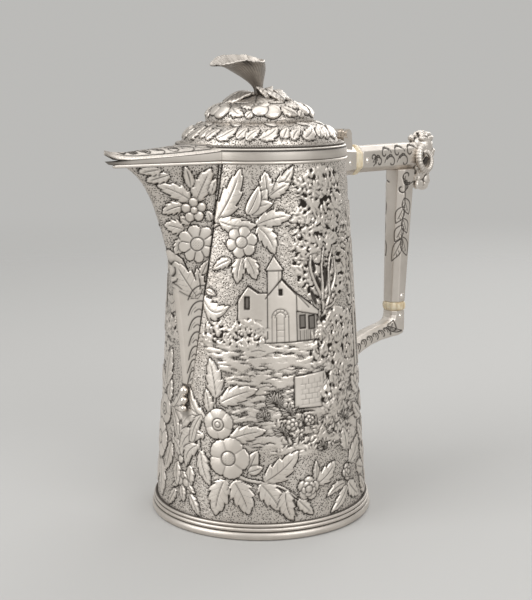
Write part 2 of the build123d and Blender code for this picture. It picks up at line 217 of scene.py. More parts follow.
class Sheet:
    """A developed sheet of silver on a grid: a is an angle in degrees or a length, b a length in mm."""

    def __init__(self, a, b, mm_per_a, wraps):
        self.a, self.b, self.mm_per_a, self.wraps = a, b, mm_per_a, wraps
        self.height = np.zeros((len(b), len(a)))
        self.dark = np.zeros_like(self.height)
        self.ground = np.ones_like(self.height)

    def window(self, a, b, reach):
        """Index of the cells within reach of a place, with their local x and y in millimetres."""
        x = self.a - a
        if self.wraps:
            x = (x + 180.0) % 360.0 - 180.0
        x = x * self.mm_per_a(b)
        y = self.b - b
        cols = np.flatnonzero(np.abs(x) < reach)
        rows = np.flatnonzero(np.abs(y) < reach)
        grid_x, grid_y = np.meshgrid(x[cols], y[rows])
        return np.ix_(rows, cols), grid_x, grid_y

    def lay(self, sub, height, cover, line, groove=0.18):
        """Lays a shape over what is there: cover is its mask and line its drawn and outlined edges, with their
        painted shadow.
        """
        self.height[sub] = self.height[sub] * (1 - cover) + height * cover - groove * line**2
        self.dark[sub] = np.maximum(self.dark[sub] * (1 - cover), line)
        self.ground[sub] *= 1 - cover

    def cut(self, sub, line, groove):
        """Cuts a line into what is there, dark at the bottom."""
        self.height[sub] -= groove * line
        self.dark[sub] = np.maximum(self.dark[sub], line)

    def tones(self):
        """The per-point numbers that the chased material reads."""
        return {"dark": self.dark, "ground": self.ground}


def edge_line(gap):
    """Dark cut just outside an edge, with a soft shadow beyond it; gap is the distance inside the edge."""
    cut = np.exp(-(((gap + 0.25) / 0.30) ** 2))
    shadow = 0.42 * np.exp(-((np.clip(-gap, 0, None) / 1.1) ** 2)) * (gap < 0)
    return np.maximum(cut, shadow)


def turned_frame(x, y, turn):
    """Coordinates across and along a direction that is turned anticlockwise from straight up."""
    c, s = math.cos(math.radians(turn)), math.sin(math.radians(turn))
    return x * c + y * s, -x * s + y * c


VEIN_DEPTH = 0.4
TOOTH_DEPTH = 0.36


def leaf(sheet, base, tip, width, rise=0.85, bend=0.0, teeth=4, veins=3.8):
    """Serrated leaf from its stalk at base to its tip, with a grooved midrib, veins and dark edges."""
    middle_b = (base[1] + tip[1]) / 2
    dx = (tip[0] - base[0]) * sheet.mm_per_a(middle_b)
    dy = tip[1] - base[1]
    length = math.hypot(dx, dy)
    turn = math.degrees(math.atan2(-dx, dy))
    sub, x, y = sheet.window(base[0], base[1], length * 1.25 + 2)
    across, along = turned_frame(x, y, turn)
    t = along / length
    inside_t = np.clip(t, 0.0, 1.0)
    across = across - bend * length * 4 * inside_t * (1 - inside_t)
    tooth = (inside_t * teeth + 0.35 * np.sign(across)) % 1.0
    jag = 1.0 + (TOOTH_DEPTH if teeth else 0.0) * (tooth - 0.6)
    half = width / 2 * np.sin(np.pi * inside_t**0.72) ** 0.72 * jag + 0.02
    s = across / half
    gap = (1.0 - np.abs(s)) * half
    gap = np.where(t < 0, -np.hypot(across, along), np.where(t > 1, -np.hypot(across, along - length), gap))
    cover = smooth(-0.2, 0.15, gap)
    crown = np.clip(1.0 - np.abs(s) ** 2.6, 0.0, 1.0) ** 0.5
    phase = (along - 0.9 * np.abs(across)) / veins % 1.0
    vein = np.exp(-((np.minimum(phase, 1 - phase) * veins / 0.24) ** 2))
    vein = vein * smooth(0.3, 0.8, np.abs(across)) * smooth(0.25, 0.7, gap)
    rib = np.exp(-((across / 0.26) ** 2)) * smooth(0.9, 0.7, t) * smooth(0.0, 0.1, t)
    swell = 0.75 + 0.25 * np.sin(np.pi * inside_t)
    height = rise * (0.4 + 0.6 * crown) * swell - 0.1 * vein * VEIN_DEPTH - 0.22 * rib
    drawn = np.maximum(VEIN_DEPTH * 0.8 * vein, 0.85 * rib) * cover
    sheet.lay(sub, height, cover, np.clip(np.maximum(edge_line(gap), drawn), 0, 1))


def petal_leaf(sheet, base, tip, width, **more):
    """Smooth-edged petal or sepal."""
    leaf(sheet, base, tip, width, teeth=0, veins=50, **more)


def tuft(sheet, a, b, size, count):
    """Fan of short pointed blades."""
    for turn in np.linspace(-90, 90, count):
        length = size * (0.75 + 0.25 * math.cos(turn * 5.0))
        tip_a = a - math.sin(math.radians(turn)) * length / sheet.mm_per_a(b)
        petal_leaf(sheet, (a, b), (tip_a, b + math.cos(math.radians(turn)) * length), 1.3, rise=0.6)


def flower(sheet, a, b, radius, petals, turn=0.0, rise=0.9, heart=0.3, rings=1, notch=0.3, knurled=True):
    """Open flower: domed petals parted by dark lines, round a ringed or stippled heart."""
    sub, x, y = sheet.window(a, b, radius * 1.25 + 1)
    r = np.hypot(x, y)
    angle = np.arctan2(y, x) - math.radians(turn)
    for ring in range(rings):
        size = radius * (1.0 - 0.36 * ring)
        wave = np.abs(np.cos((angle + ring * np.pi / petals) * petals / 2))
        ruffle = 0.012 * np.cos(angle * petals * 5)
        reach = size * (1.0 - notch + notch * wave**0.5 + ruffle)
        gap = reach - r
        cover = smooth(-0.2, 0.15, gap)
        split = np.exp(-((wave * r * 2.0 / petals / 0.34) ** 2)) * smooth(heart * size, heart * size * 1.5, r)
        dome = np.sin(np.pi * np.clip(r / reach, 0, 1) ** 0.9 * 0.86) * (0.6 + 0.4 * wave)
        height = rise * (0.35 + 0.65 * dome) + 0.25 * ring
        line = np.clip(np.maximum(edge_line(gap), split * 0.9 * cover * notch / 0.3), 0, 1)
        sheet.lay(sub, height, cover, line)
    core = heart * radius
    gap = core - r
    cover = smooth(-0.2, 0.2, gap)
    bumps = 0.5 + 0.5 * np.cos(x * 4.6) * np.cos(y * 4.6) if knurled else 0 * x
    height = rise * (0.7 + 0.5 * np.sqrt(np.clip(1 - (r / core) ** 2, 0, 1))) - 0.1 * bumps
    line = np.clip(np.maximum(np.exp(-(((gap + 0.25) / 0.36) ** 2)), 0.5 * bumps**4 * cover), 0, 1)
    sheet.lay(sub, height, cover, line)


def bead(sheet, a, b, radius, rise=0.6):
    """Round berry or bud."""
    sub, x, y = sheet.window(a, b, radius + 1.5)
    r = np.hypot(x, y)
    gap = radius - r
    cover = smooth(-0.2, 0.2, gap)
    height = rise * (0.3 + 0.7 * np.sqrt(np.clip(1 - (r / radius) ** 2, 0, 1)))
    sheet.lay(sub, height, cover, edge_line(gap))


def cells_round(sheet, points, margin, curved=False):
    """Cells round a run of points: their index, their x and y, and the points in the same millimetres."""
    points = np.array(points, float)
    a, b = points.mean(axis=0)
    local = np.stack([(points[:, 0] - a) * sheet.mm_per_a(b), points[:, 1] - b], axis=1)
    if curved and len(local) > 2:
        local = rounded(local)
    return (*sheet.window(a, b, np.abs(local).max() + margin), local)


def distance_to_path(x, y, local):
    """Distance from each cell to a run of straight pieces, and how far along the run it is, 0 to 1."""
    best = np.full(x.shape, 1e9)
    along = np.zeros(x.shape)
    lengths = np.hypot(*np.diff(local, axis=0).T)
    total = max(lengths.sum(), 1e-6)
    walked = 0.0
    for (x0, y0), (x1, y1), length in zip(local[:-1], local[1:], lengths):
        t = np.clip(((x - x0) * (x1 - x0) + (y - y0) * (y1 - y0)) / max(length**2, 1e-9), 0, 1)
        d = np.hypot(x - x0 - t * (x1 - x0), y - y0 - t * (y1 - y0))
        nearer = d < best
        best = np.where(nearer, d, best)
        along = np.where(nearer, (walked + t * length) / total, along)
        walked += length
    return best, along


def rounded(local, rounds=2):
    """Cuts the corners of a run of points so that a stem curves."""
    for _ in range(rounds):
        a, b = local[:-1], local[1:]
        cut = np.empty((2 * len(a), 2))
        cut[0::2] = 0.75 * a + 0.25 * b
        cut[1::2] = 0.25 * a + 0.75 * b
        local = np.vstack([local[:1], cut, local[-1:]])
    return local


def stem(sheet, points, width=1.3, rise=0.45):
    """Raised stem or branch through points, thinner towards its end."""
    sub, x, y, local = cells_round(sheet, points, width + 1.5, curved=True)
    d, along = distance_to_path(x, y, local)
    half = width / 2 * (1 - 0.5 * along)
    gap = half - d
    cover = smooth(-0.2, 0.15, gap)
    height = rise * (0.3 + 0.7 * np.sqrt(np.clip(1 - (d / half) ** 2, 0, 1)))
    sheet.lay(sub, height, cover, edge_line(gap))


def cut_line(sheet, points, width=0.4, depth=1.0, curved=False):
    """Engraved line through points, dark at the bottom."""
    sub, x, y, local = cells_round(sheet, points, width + 1.5, curved)
    d, _ = distance_to_path(x, y, local)
    sheet.cut(sub, depth * np.exp(-((d / width) ** 2)), 0.2)


def inside_by(x, y, local):
    """How far inside a closed outline each cell is; negative outside it."""
    inside = np.zeros(x.shape, bool)
    closed = np.vstack([local, local[:1]])
    for (x0, y0), (x1, y1) in zip(closed[:-1], closed[1:]):
        crosses = (y0 > y) != (y1 > y)
        inside ^= crosses & (x < (x1 - x0) * (y - y0) / (y1 - y0 + 1e-12) + x0)
    d, _ = distance_to_path(x, y, closed)
    return np.where(inside, d, -d)


def panel(sheet, points, rise, shade=0.0):
    """Flat raised panel with straight edges."""
    sub, x, y, local = cells_round(sheet, points, 2)
    gap = inside_by(x, y, local)
    cover = smooth(-0.2, 0.15, gap)
    line = np.exp(-(((gap + 0.2) / 0.36) ** 2))
    sheet.lay(sub, rise, cover, np.clip(line + shade * cover, 0, 1), groove=0.12)


def speckle(sheet, points, size, amount, rise=0.35, stretch=1.0):
    """Broken texture of foliage, grass or stone inside an outline."""
    sub, x, y, local = cells_round(sheet, points, 2)
    cover = smooth(-1.0, 1.0, inside_by(x, y, local))
    cell = (sheet.b[-1] - sheet.b[0]) / (len(sheet.b) - 1)
    patches = blur(seeded.standard_normal(x.shape), size * stretch / cell, size / cell)
    patches = patches / patches.std()
    blob = smooth(-0.7, 0.5, patches)
    hole = smooth(-0.35, -1.25, patches) * amount
    sheet.height[sub] = sheet.height[sub] * (1 - cover) + rise * blob * cover
    sheet.dark[sub] = np.maximum(sheet.dark[sub] * (1 - cover * 0.85), hole * cover)
    sheet.ground[sub] *= 1 - cover * (0.25 + 0.65 * blob)


def settle(sheet, reach=2.2):
    """Darkens the low places beside high ones, as tarnish gathers there, and roughens the ground."""
    low = blur(sheet.height, reach, reach) - sheet.height
    sheet.dark = np.clip(sheet.dark + 0.55 * np.clip(low, 0, 1), 0, 1)
    grain = blur(seeded.standard_normal(sheet.height.shape), 0.55, 0.55)
    sheet.height += 0.05 * sheet.ground * grain / grain.std()


# ---------------------------------------------------------------- meshes

def put(name, mesh, body, node, slot="chased_silver"):
    """Adds a piece to the pot or the lid in place of a CAD node."""
    piece = bpy.data.objects.new(name, mesh)
    bpy.context.scene.collection.objects.link(piece)
    piece.data.materials.append(MATERIALS[slot])
    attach(piece, body)
    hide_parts(node)


def dress(mesh, values):
    """Gives a mesh smooth shading and its per-point numbers for the material."""
    for key, numbers in values.items():
        attribute = mesh.attributes.new(key, "FLOAT", "POINT")
        attribute.data.foreach_set("value", np.asarray(numbers, np.float32))
    mesh.polygons.foreach_set("use_smooth", np.ones(len(mesh.polygons), bool))
    mesh.update()
    return mesh


def mesh_from(name, points, faces, values):
    """Mesh from points in millimetres, dressed with its per-point numbers."""
    mesh = bpy.data.meshes.new(name)
    mesh.from_pydata((np.asarray(points) * MM).tolist(), [], faces)
    return dress(mesh, values)


def shades(dark):
    """Per-point numbers of a piece with no stippled ground."""
    dark = np.asarray(dark).reshape(-1)
    return {"dark": dark, "ground": np.zeros(dark.size)}


def grid_quads(rows, cols, wrap_rows=False, wrap_cols=True, flip=False):
    """Faces of a grid of points, closed on itself across rows or columns; flip turns them over."""
    index = np.arange(rows * cols).reshape(rows, cols)
    if wrap_rows:
        index = np.vstack([index, index[:1]])
    if wrap_cols:
        index = np.hstack([index, index[:, :1]])
    corner, right, across, below = index[:-1, :-1], index[:-1, 1:], index[1:, 1:], index[1:, :-1]
    ring = [corner, below, across, right] if flip else [corner, right, across, below]
    return np.stack(ring, -1).reshape(-1, 4)


def ring_of_loops(name, loops, dark, flip=False):
    """Closed ring through loops of points, the last joined to the first; dark is given loop by loop."""
    grid = np.array(loops)
    rows, cols = grid.shape[:2]
    shade = np.concatenate([np.broadcast_to(row, cols) for row in dark])
    quads = grid_quads(rows, cols, wrap_rows=True, flip=flip)
    return mesh_from(name, grid.reshape(-1, 3), quads.tolist(), shades(shade))


def tube(name, rings, values):
    """Closed solid through rings of points (rings, points, 3), with a flat cap on each end."""
    count, around = rings.shape[:2]
    first = np.arange(around)
    faces = grid_quads(count, around).tolist() + [first[::-1].tolist(), (first + (count - 1) * around).tolist()]
    return mesh_from(name, rings.reshape(-1, 3), faces, values)


def turned(r, angle, z):
    """Points round the axis of the pot; the angle is counted from the spout, in radians."""
    return np.stack(np.broadcast_arrays(-r * np.cos(angle), -r * np.sin(angle), z), -1)


def unit(vectors):
    """Vectors of length 1 in the same directions."""
    return vectors / np.linalg.norm(vectors, axis=-1, keepdims=True)


def skin(name, outer, inner, step, wraps, values, cut=None):
    """Closed sheet: a fine outer grid (rows, columns, 3) over an inner grid every step-th point of it.

    The two are joined along their free edges and round the cells of the inner grid that cut leaves
    out, so the sheet has a thickness all over.
    """
    rows, cols = outer.shape[:2]
    inner = inner[::step, ::step]
    in_rows, in_cols = inner.shape[:2]
    fine = np.arange(rows * cols).reshape(rows, cols)
    coarse = rows * cols + np.arange(in_rows * in_cols).reshape(in_rows, in_cols)
    if wraps:
        fine = np.hstack([fine, fine[:, :1]])
        coarse = np.hstack([coarse, coarse[:, :1]])
    keep = np.ones((coarse.shape[0] - 1, coarse.shape[1] - 1), bool)
    if cut is not None:
        keep &= ~cut[:keep.shape[0], :keep.shape[1]]
    fine_keep = np.kron(keep, np.ones((step, step), bool))
    quads = grid_quads(rows, cols, wrap_cols=wraps)[fine_keep.reshape(-1)]
    backs = grid_quads(in_rows, in_cols, wrap_cols=wraps, flip=True)[keep.reshape(-1)] + rows * cols
    faces = quads.tolist() + backs.tolist()
    rings = np.pad(keep, 1)
    if wraps:
        rings[1:-1, 0] = keep[:, -1]
        rings[1:-1, -1] = keep[:, 0]

    def close(fine_run, coarse_a, coarse_b):
        faces.append([int(v) for v in fine_run] + [int(coarse_b), int(coarse_a)])

    for i in range(keep.shape[0]):
        for j in range(keep.shape[1]):
            if not keep[i, j]:
                continue
            r, c = i * step, j * step
            if not rings[i, j + 1]:
                close(fine[r, c:c + step + 1][::-1], coarse[i, j + 1], coarse[i, j])
            if not rings[i + 2, j + 1]:
                close(fine[r + step, c:c + step + 1], coarse[i + 1, j], coarse[i + 1, j + 1])
            if not rings[i + 1, j]:
                close(fine[r:r + step + 1, c], coarse[i, j], coarse[i + 1, j])
            if not rings[i + 1, j + 2]:
                close(fine[r:r + step + 1, c + step][::-1], coarse[i + 1, j + 1], coarse[i, j + 1])
    points = np.vstack([outer.reshape(-1, 3), inner.reshape(-1, 3)])
    blank = np.zeros(in_rows * in_cols)
    full = {key: np.concatenate([v.reshape(-1), blank]) for key, v in values.items()}
    return mesh_from(name, points, faces, full)


# ---------------------------------------------------------------- body

BODY_CELL = 0.45
BODY_MEAN_R = 51.0
BODY_SINK = 0.35
BODY_WALL = 0.9
BODY_FOOT = 8.0
BODY_TOP = RIM_Z - 5.6
STEP = 8
DEGREE = math.radians(1.0)
WINDOW = (106, 182)


def body_sheet():
    """Blank sheet for the wall, with a whole number of coarse cells each way."""
    cols = int(2 * np.pi * BODY_MEAN_R / BODY_CELL / STEP) * STEP
    rows = int((BODY_TOP - BODY_FOOT) / BODY_CELL / STEP) * STEP + 1
    a = np.linspace(-180, 180, cols, endpoint=False)
    b = np.linspace(BODY_FOOT, BODY_TOP, rows)
    return Sheet(a, b, lambda z: DEGREE * wall_r(z), wraps=True)


def on_side(points, side):
    """Points of the -Y side, or the same points mirrored to the +Y side."""
    return [(a * side, b) for a, b in points]


def leaves(sheet, side, rows, **more):
    """Lays leaves given as base angle, base height, tip angle, tip height, width and bend."""
    for a0, b0, a1, b1, width, bend in rows:
        leaf(sheet, (a0 * side, b0), (a1 * side, b1), width, bend=bend * side, **more)


def spray_upper(sheet, side):
    """Leaves, rosebud and flower that hang beside the spout from the rim."""
    s = side
    stem(sheet, on_side([(17, 158), (26, 162.5), (36, 163), (44, 159)], s), 1.6)
    stem(sheet, on_side([(44, 164), (49, 169), (52, 174)], s), 1.2)
    stem(sheet, on_side([(26, 160), (31, 157), (32, 154)], s), 1.1)
    leaves(sheet, s, [
        (18.6, 160, 35, 187, 10.5, 0.05), (44.3, 159.5, 66, 163.5, 8.6, -0.06), (45.5, 158.5, 55, 145, 8.4, -0.1),
        (35.6, 143.5, 33.2, 130.5, 6.8, 0.05), (38.6, 143.5, 44, 132.5, 6.8, -0.05),
        (29, 142, 17.5, 136.5, 5.2, 0.05), (29.5, 155, 23.5, 161, 4.6, 0.15),
        (52.5, 174, 68, 188, 7.0, 0.06), (52.1, 173.4, 65.5, 179.5, 7.0, -0.05),
        (51, 174.5, 49.8, 185.5, 6.6, 0.0), (11.5, 122, 28.6, 119, 9.5, 0.34), (21, 161, 44.5, 159.5, 8.0, 0.08)])
    petal_leaf(sheet, (41 * s, 163.5), (51 * s, 177), 8.5, rise=1.0)
    petal_leaf(sheet, (40 * s, 166.0), (54.5 * s, 170), 7.0, rise=0.9, bend=-0.06 * s)
    petal_leaf(sheet, (39 * s, 164.5), (46 * s, 178.5), 6.0, rise=1.0, bend=0.06 * s)
    flower(sheet, 35.5 * s, 151, 7.9, 6, 15, heart=0.34)
    petal_leaf(sheet, (13 * s, 126), (20 * s, 124), 3.4)
    cut_line(sheet, on_side([(62, 158), (66, 159.5), (69, 157)], s), 0.3, 0.9, curved=True)


def spray_lower(sheet, side):
    """Two large flowers, scrolling leaves and a rose that climb beside the foot of the spout."""
    s = side
    stem(sheet, on_side([(12, 40), (10, 52), (5, 64), (2, 72)], s), 1.8)
    stem(sheet, on_side([(33, 33), (40, 30.5), (48, 29.5), (58, 27), (65, 21)], s), 1.7)
    stem(sheet, on_side([(21, 66), (20, 72), (21, 78)], s), 1.2)
    leaves(sheet, s, [
        (21.5, 72, 16.5, 92, 9.6, 0.03), (23.7, 69.5, 45, 77.5, 8.8, -0.05), (17.8, 64, 15, 76, 6.0, 0.0),
        (17, 59, 3, 75, 6.4, -0.16), (29.4, 51, 49.5, 56.5, 8.2, -0.05), (12.5, 43, 18.8, 26, 7.4, 0.06),
        (48.3, 30, 67, 45, 10.6, 0.05), (27, 30, 22.2, 11, 11.6, 0.05), (32.4, 30, 40.2, 13, 11.6, -0.05),
        (46.4, 29, 56.5, 14.6, 10.4, -0.05), (59.3, 24.5, 63.2, 8.8, 8.4, 0.08), (66, 19.6, 74.5, 10.8, 5.8, 0.0),
        (77, 28, 77.3, 38.5, 4.0, 0.0), (77.5, 26.4, 90.5, 36, 8.4, 0.06), (98, 22.5, 83.5, 18.2, 5.0, 0.1),
        (99.4, 20.6, 86, 9.2, 6.0, -0.06), (-5.2, 34, -4.3, 21.5, 6.2, 0.05), (-0.8, 22.5, 1.5, 14, 4.8, 0.0),
        (6, 19, 12.6, 8.8, 5.0, 0.0), (0, 30, 9.5, 20, 4.4, 0.1), (101, 22, 112, 12, 8.0, 0.05),
        (103, 32, 116, 44, 9.0, 0.05), (100, 40, 98, 52, 7.5, 0.05), (112, 28, 124, 24, 8.0, 0.05)])
    leaves(sheet, s, [
        (11, 61, -1.5, 52, 8.0, 0.26), (14, 52, -2.0, 38, 9.0, 0.26), (12.5, 62, 6, 44, 5.0, 0.1),
        (11, 46, 2.2, 33, 7.0, 0.2)], veins=2.4, teeth=3)
    petal_leaf(sheet, (40 * s, 36), (44.5 * s, 46), 6.5)
    petal_leaf(sheet, (40 * s, 35), (47.5 * s, 37.5), 5.0)
    eye = (22.9 * s, 58.5)
    flower(sheet, *eye, 8.0, 5, 20, rise=1.0, heart=0.36, notch=0.1, knurled=False)
    sub, x, y = sheet.window(*eye, 4)
    sheet.cut(sub, 0.9 * np.exp(-(((np.hypot(x, y) - 1.5) / 0.35) ** 2)), 0.25 / 0.9)
    flower(sheet, 29.1 * s, 41.6, 10.8, 5, 0, rise=1.15, heart=0.32, notch=0.17)
    flower(sheet, 72.1 * s, 24.7, 6.2, 5, 10, rings=2)
    flower(sheet, 101 * s, 27.8, 4.6, 5, 40, rings=2)
    bead(sheet, 2.3 * s, 24.5, 2.2)
    bead(sheet, -2.5 * s, 36, 2.0)


GROUND_LINE = 101
DOOR_A = 57.8
DOOR_SPRING = 113.4
DOOR_HALF = 4.3
DOOR_INNER = 0.62


def house(sheet, side):
    """Country house with a bell turret, a gabled wing and an arched door."""
    s = side

    def wall(points, rise, **more):
        panel(sheet, on_side(points, s), rise, **more)

    wall([(67, 101), (67, 116), (81, 116), (81, 101)], 0.2, shade=0.35)
    wall([(59, 131), (82, 115.5), (82, 113.5), (66.5, 116.5)], 0.75)
    wall([(33.8, 101), (33.8, 122.5), (39.4, 128.8), (45, 125.6), (51, 125.6), (51, 101)], 0.55)
    wall([(50.9, 124), (50.9, 137.2), (59.1, 137.2), (59.1, 124)], 0.7)
    wall([(49.8, 137), (54.6, 144), (60.2, 137)], 0.85)
    wall([(50.8, 101), (50.8, 124.5), (59.1, 132), (67.5, 124), (67.5, 101)], 0.8)
    cut_line(sheet, on_side([(32, 119.5), (39.4, 129.6), (46, 126)], s), 0.35, 0.9)
    cut_line(sheet, on_side([(49.5, 123), (59.1, 133), (75.5, 117.6)], s), 0.4, 0.9)
    cut_line(sheet, on_side([(57, 137), (57, 127)], s), 0.3, 0.6)
    cut_line(sheet, on_side([(33, 112.5), (40, 113), (47, 112)], s), 0.3, 0.6)
    for a, b, w, h in ((71.5, 110.5, 3.0, 6.5), (77.5, 109.8, 3.4, 6.5), (38.9, 120.8, 2.2, 6),
                       (58.2, 126, 1.2, 2.6)):
        half = w / 2 / sheet.mm_per_a(b)
        pane = [((a + x * half) * s, b + y * h / 2) for x, y in ((-1, -1), (-1, 1), (1, 1), (1, -1))]
        panel(sheet, pane, 0.15, shade=0.75)
        cut_line(sheet, pane + pane[:1], 0.3, 0.8)
    half = DOOR_HALF / sheet.mm_per_a(112)

    def arch(part, turns):
        return [(DOOR_A + half * part * math.cos(t), DOOR_SPRING + DOOR_HALF * part * math.sin(t)) for t in turns]

    for part in (1.0, DOOR_INNER):
        cut_line(sheet, on_side(arch(part, np.linspace(0, np.pi, 9)), s), 0.3, 0.85)
    for t in np.linspace(0.4, 2.74, 5):
        cut_line(sheet, on_side(arch(DOOR_INNER, [t]) + arch(0.98, [t]), s), 0.22, 0.7)
    leaf_half = half * 0.45
    for a in (DOOR_A - half, DOOR_A - leaf_half, DOOR_A + leaf_half, DOOR_A + half):
        cut_line(sheet, on_side([(a, GROUND_LINE), (a, DOOR_SPRING)], s), 0.26, 0.8)
    for b in (104, 107, 110):
        cut_line(sheet, on_side([(DOOR_A - leaf_half, b), (DOOR_A + leaf_half, b)], s), 0.2, 0.5)
    for a in np.arange(68.5, 81, 1.3):
        cut_line(sheet, on_side([(a, GROUND_LINE), (a, 106)], s), 0.22, 0.8)


def dabs(sheet, outline, count, length, width, lean, seed, rise=0.5):
    """Scatters short blade-like strokes inside a box of angle and height: (a0, a1, b0, b1)."""
    chance = np.random.default_rng(seed)
    a0, a1, b0, b1 = outline
    for _ in range(count):
        a = a0 + (a1 - a0) * chance.random()
        b = b0 + (b1 - b0) * chance.random()
        turn = lean + 130 * (chance.random() - 0.5)
        size = length * (0.6 + 0.8 * chance.random())
        half = width * (0.7 + 0.6 * chance.random()) / 2
        sub, x, y = sheet.window(a, b, size + 1)
        across, along = turned_frame(x, y, turn)
        across = across - 0.12 * along**2 / size
        t = np.clip(along / size, 0, 1)
        gap = half * np.sin(np.pi * t**0.6) - np.abs(across)
        gap = np.where((along < 0) | (along > size), -1.0, gap)
        cover = smooth(-0.15, 0.2, gap)
        # Beside one side of each stroke: a shallow groove darkened as a painted shadow.
        shade = np.exp(-(((across + half * 1.3) / (half * 0.8)) ** 2))
        shade = shade * np.sin(np.pi * t) * (along > 0) * (along < size)
        sheet.height[sub] = sheet.height[sub] * (1 - cover) + rise * cover - 0.15 * shade * (1 - cover)
        sheet.dark[sub] = np.maximum(sheet.dark[sub] * (1 - cover), 0.7 * shade * (1 - cover))
        sheet.ground[sub] *= 1 - cover


def big_tree(sheet, side):
    """Tree with a forked trunk in front of a broken mass of leaves."""
    s = side
    crown = [(69, 130), (66, 140), (70, 152), (66, 162), (72, 170), (69, 180), (80, 186), (92, 188), (106, 184),
             (110, 170), (104, 156), (112, 142), (110, 126), (96, 118), (82, 118)]
    speckle(sheet, on_side(crown, s), 0.55, 1.0, 0.5, stretch=1.4)
    for box, count, seed in (((68, 92, 142, 152), 42, 1), ((66, 96, 156, 166), 50, 2), ((70, 104, 172, 181), 46, 3),
                             ((96, 112, 128, 170), 60, 4), ((72, 84, 126, 138), 22, 5)):
        dabs(sheet, (box[0] * s, box[1] * s, box[2], box[3]), count, 3.6, 1.5, 75 * s, seed)
    for a, b, tall, wide, lean in ((83.2, 128, 11, 3.0, 12), (88.6, 131, 12, 3.2, -4), (93.6, 124, 10, 3.0, -24),
                                   (79.4, 122, 9, 2.6, 22), (91.4, 112, 9, 2.6, -14), (81.6, 111, 8, 2.4, 8),
                                   (93.5, 137, 8, 2.4, -16), (80.0, 138, 7, 2.2, 14)):
        hollow(sheet, a * s, b, tall, wide, lean * s)
    for points, width in (([(86, 100), (84.6, 107), (87, 115), (85, 122), (80.6, 129), (77, 137), (78, 143)], 2.4),
                          ([(86.6, 113), (89.4, 119), (94.5, 126), (98, 132), (97, 141)], 2.0),
                          ([(85.6, 121), (86.4, 129), (85.4, 137), (88, 147)], 1.5),
                          ([(91.4, 123), (91.2, 131), (91.8, 139), (95.5, 146)], 1.4),
                          ([(84.6, 107), (79.6, 114), (77.4, 120)], 1.3),
                          ([(88.0, 116), (94.2, 117), (97.5, 121)], 1.2)):
        stem(sheet, on_side(points, s), width, 0.9)


def hollow(sheet, a, b, tall, wide, lean):
    """Dark oval gap between branches: a shallow dip painted dark as shade."""
    sub, x, y = sheet.window(a, b, tall)
    across, along = turned_frame(x, y, lean)
    inside = smooth(1.1, 0.8, np.hypot(across / (wide / 2), along / (tall / 2)))
    sheet.height[sub] = sheet.height[sub] * (1 - inside) - 0.1 * inside
    sheet.dark[sub] = np.maximum(sheet.dark[sub], 0.88 * inside)
    sheet.ground[sub] *= 1 - inside


def landscape(sheet, side):
    """Garden in front of the house: bushes, paths, a stone wall and low plants."""
    s = side
    lawn = [(11, 104), (30, 101), (46, 101), (76, 101), (96, 104), (116, 100), (126, 76), (120, 50), (104, 40),
            (88, 44), (70, 42), (50, 44), (36, 48), (28, 60), (30, 70), (28, 80), (20, 92), (10, 98)]
    speckle(sheet, on_side(lawn, s), 0.42, 0.55, 0.24, stretch=3.4)
    big_tree(sheet, s)
    for a, spread, seed in ((120, 7, 6), (132, 8, 9)):
        crown = [(a - spread, 110), (a - spread, 150), (a, 166), (a + spread, 150), (a + spread, 108)]
        speckle(sheet, on_side(crown, s), 0.8, 1.0, 0.6)
        dabs(sheet, ((a - spread) * s, (a + spread) * s, 112, 160), 90, 4.0, 1.8, 60 * s, seed)
        stem(sheet, on_side([(a, 80), (a + 1, 110), (a - 1, 140)], s), 2.4, 0.8)
    house(sheet, s)
    shrubs = [(12, 100), (14, 108), (22, 112), (28, 108), (34, 112), (41, 114), (48, 109), (50, 101), (40, 98)]
    speckle(sheet, on_side(shrubs, s), 0.6, 1.0, 0.7)
    dabs(sheet, (14 * s, 50 * s, 100, 109), 60, 2.2, 1.2, 0, 12)
    hedge = [(78, 100), (84, 112), (96, 116), (112, 112), (118, 96), (108, 84), (90, 84), (74, 92)]
    speckle(sheet, on_side(hedge, s), 0.7, 1.0, 0.8)
    dabs(sheet, (78 * s, 116 * s, 86, 110), 110, 3.0, 1.5, 0, 13)
    chance = np.random.default_rng(31)
    for _ in range(60):
        b = 98 - 50 * chance.random()
        a = 24 + 40 * chance.random() + min(98 - b, 20) * 0.3
        span = 3 + 6 * chance.random()
        ripple = on_side([(a, b), (a + span / 2, b + 0.8), (a + span, b)], s)
        cut_line(sheet, ripple, 0.3, 0.55 + 0.45 * chance.random())
    panel(sheet, on_side([(65.5, 67), (65.5, 83), (88, 84.5), (88, 66)], s), 0.75)
    for row in range(5):
        b = 68.5 + 2.6 * row
        cut_line(sheet, on_side([(69, b), (84, b + 0.3)], s), 0.22, 0.45)
        for k in range(4):
            a = 70 + 3.8 * k + (1.9 if row % 2 else 0)
            cut_line(sheet, on_side([(a, b), (a, b + 2.5)], s), 0.22, 0.5)
    speckle(sheet, on_side([(84, 62), (80, 74), (86, 86), (100, 86), (104, 66)], s), 0.7, 1.0, 0.8)
    dabs(sheet, (84 * s, 106 * s, 62, 86), 80, 3.4, 1.5, 0, 14)
    for a, b, size, count in ((54, 69, 7, 13), (62, 64, 6, 11), (70, 58, 6, 11), (48, 62, 5, 9), (58, 54, 6, 11),
                              (67, 50, 5, 9), (78, 56, 6, 11), (90, 52, 7, 11), (82, 44, 5, 9), (100, 56, 7, 11)):
        tuft(sheet, a * s, b, size, count)
    dabs(sheet, (56 * s, 104 * s, 44, 60), 90, 2.6, 1.3, 0, 15)
    flower(sheet, 63.5 * s, 58.8, 3.2, 5, 0)
    flower(sheet, 74 * s, 60, 2.8, 5, 30)


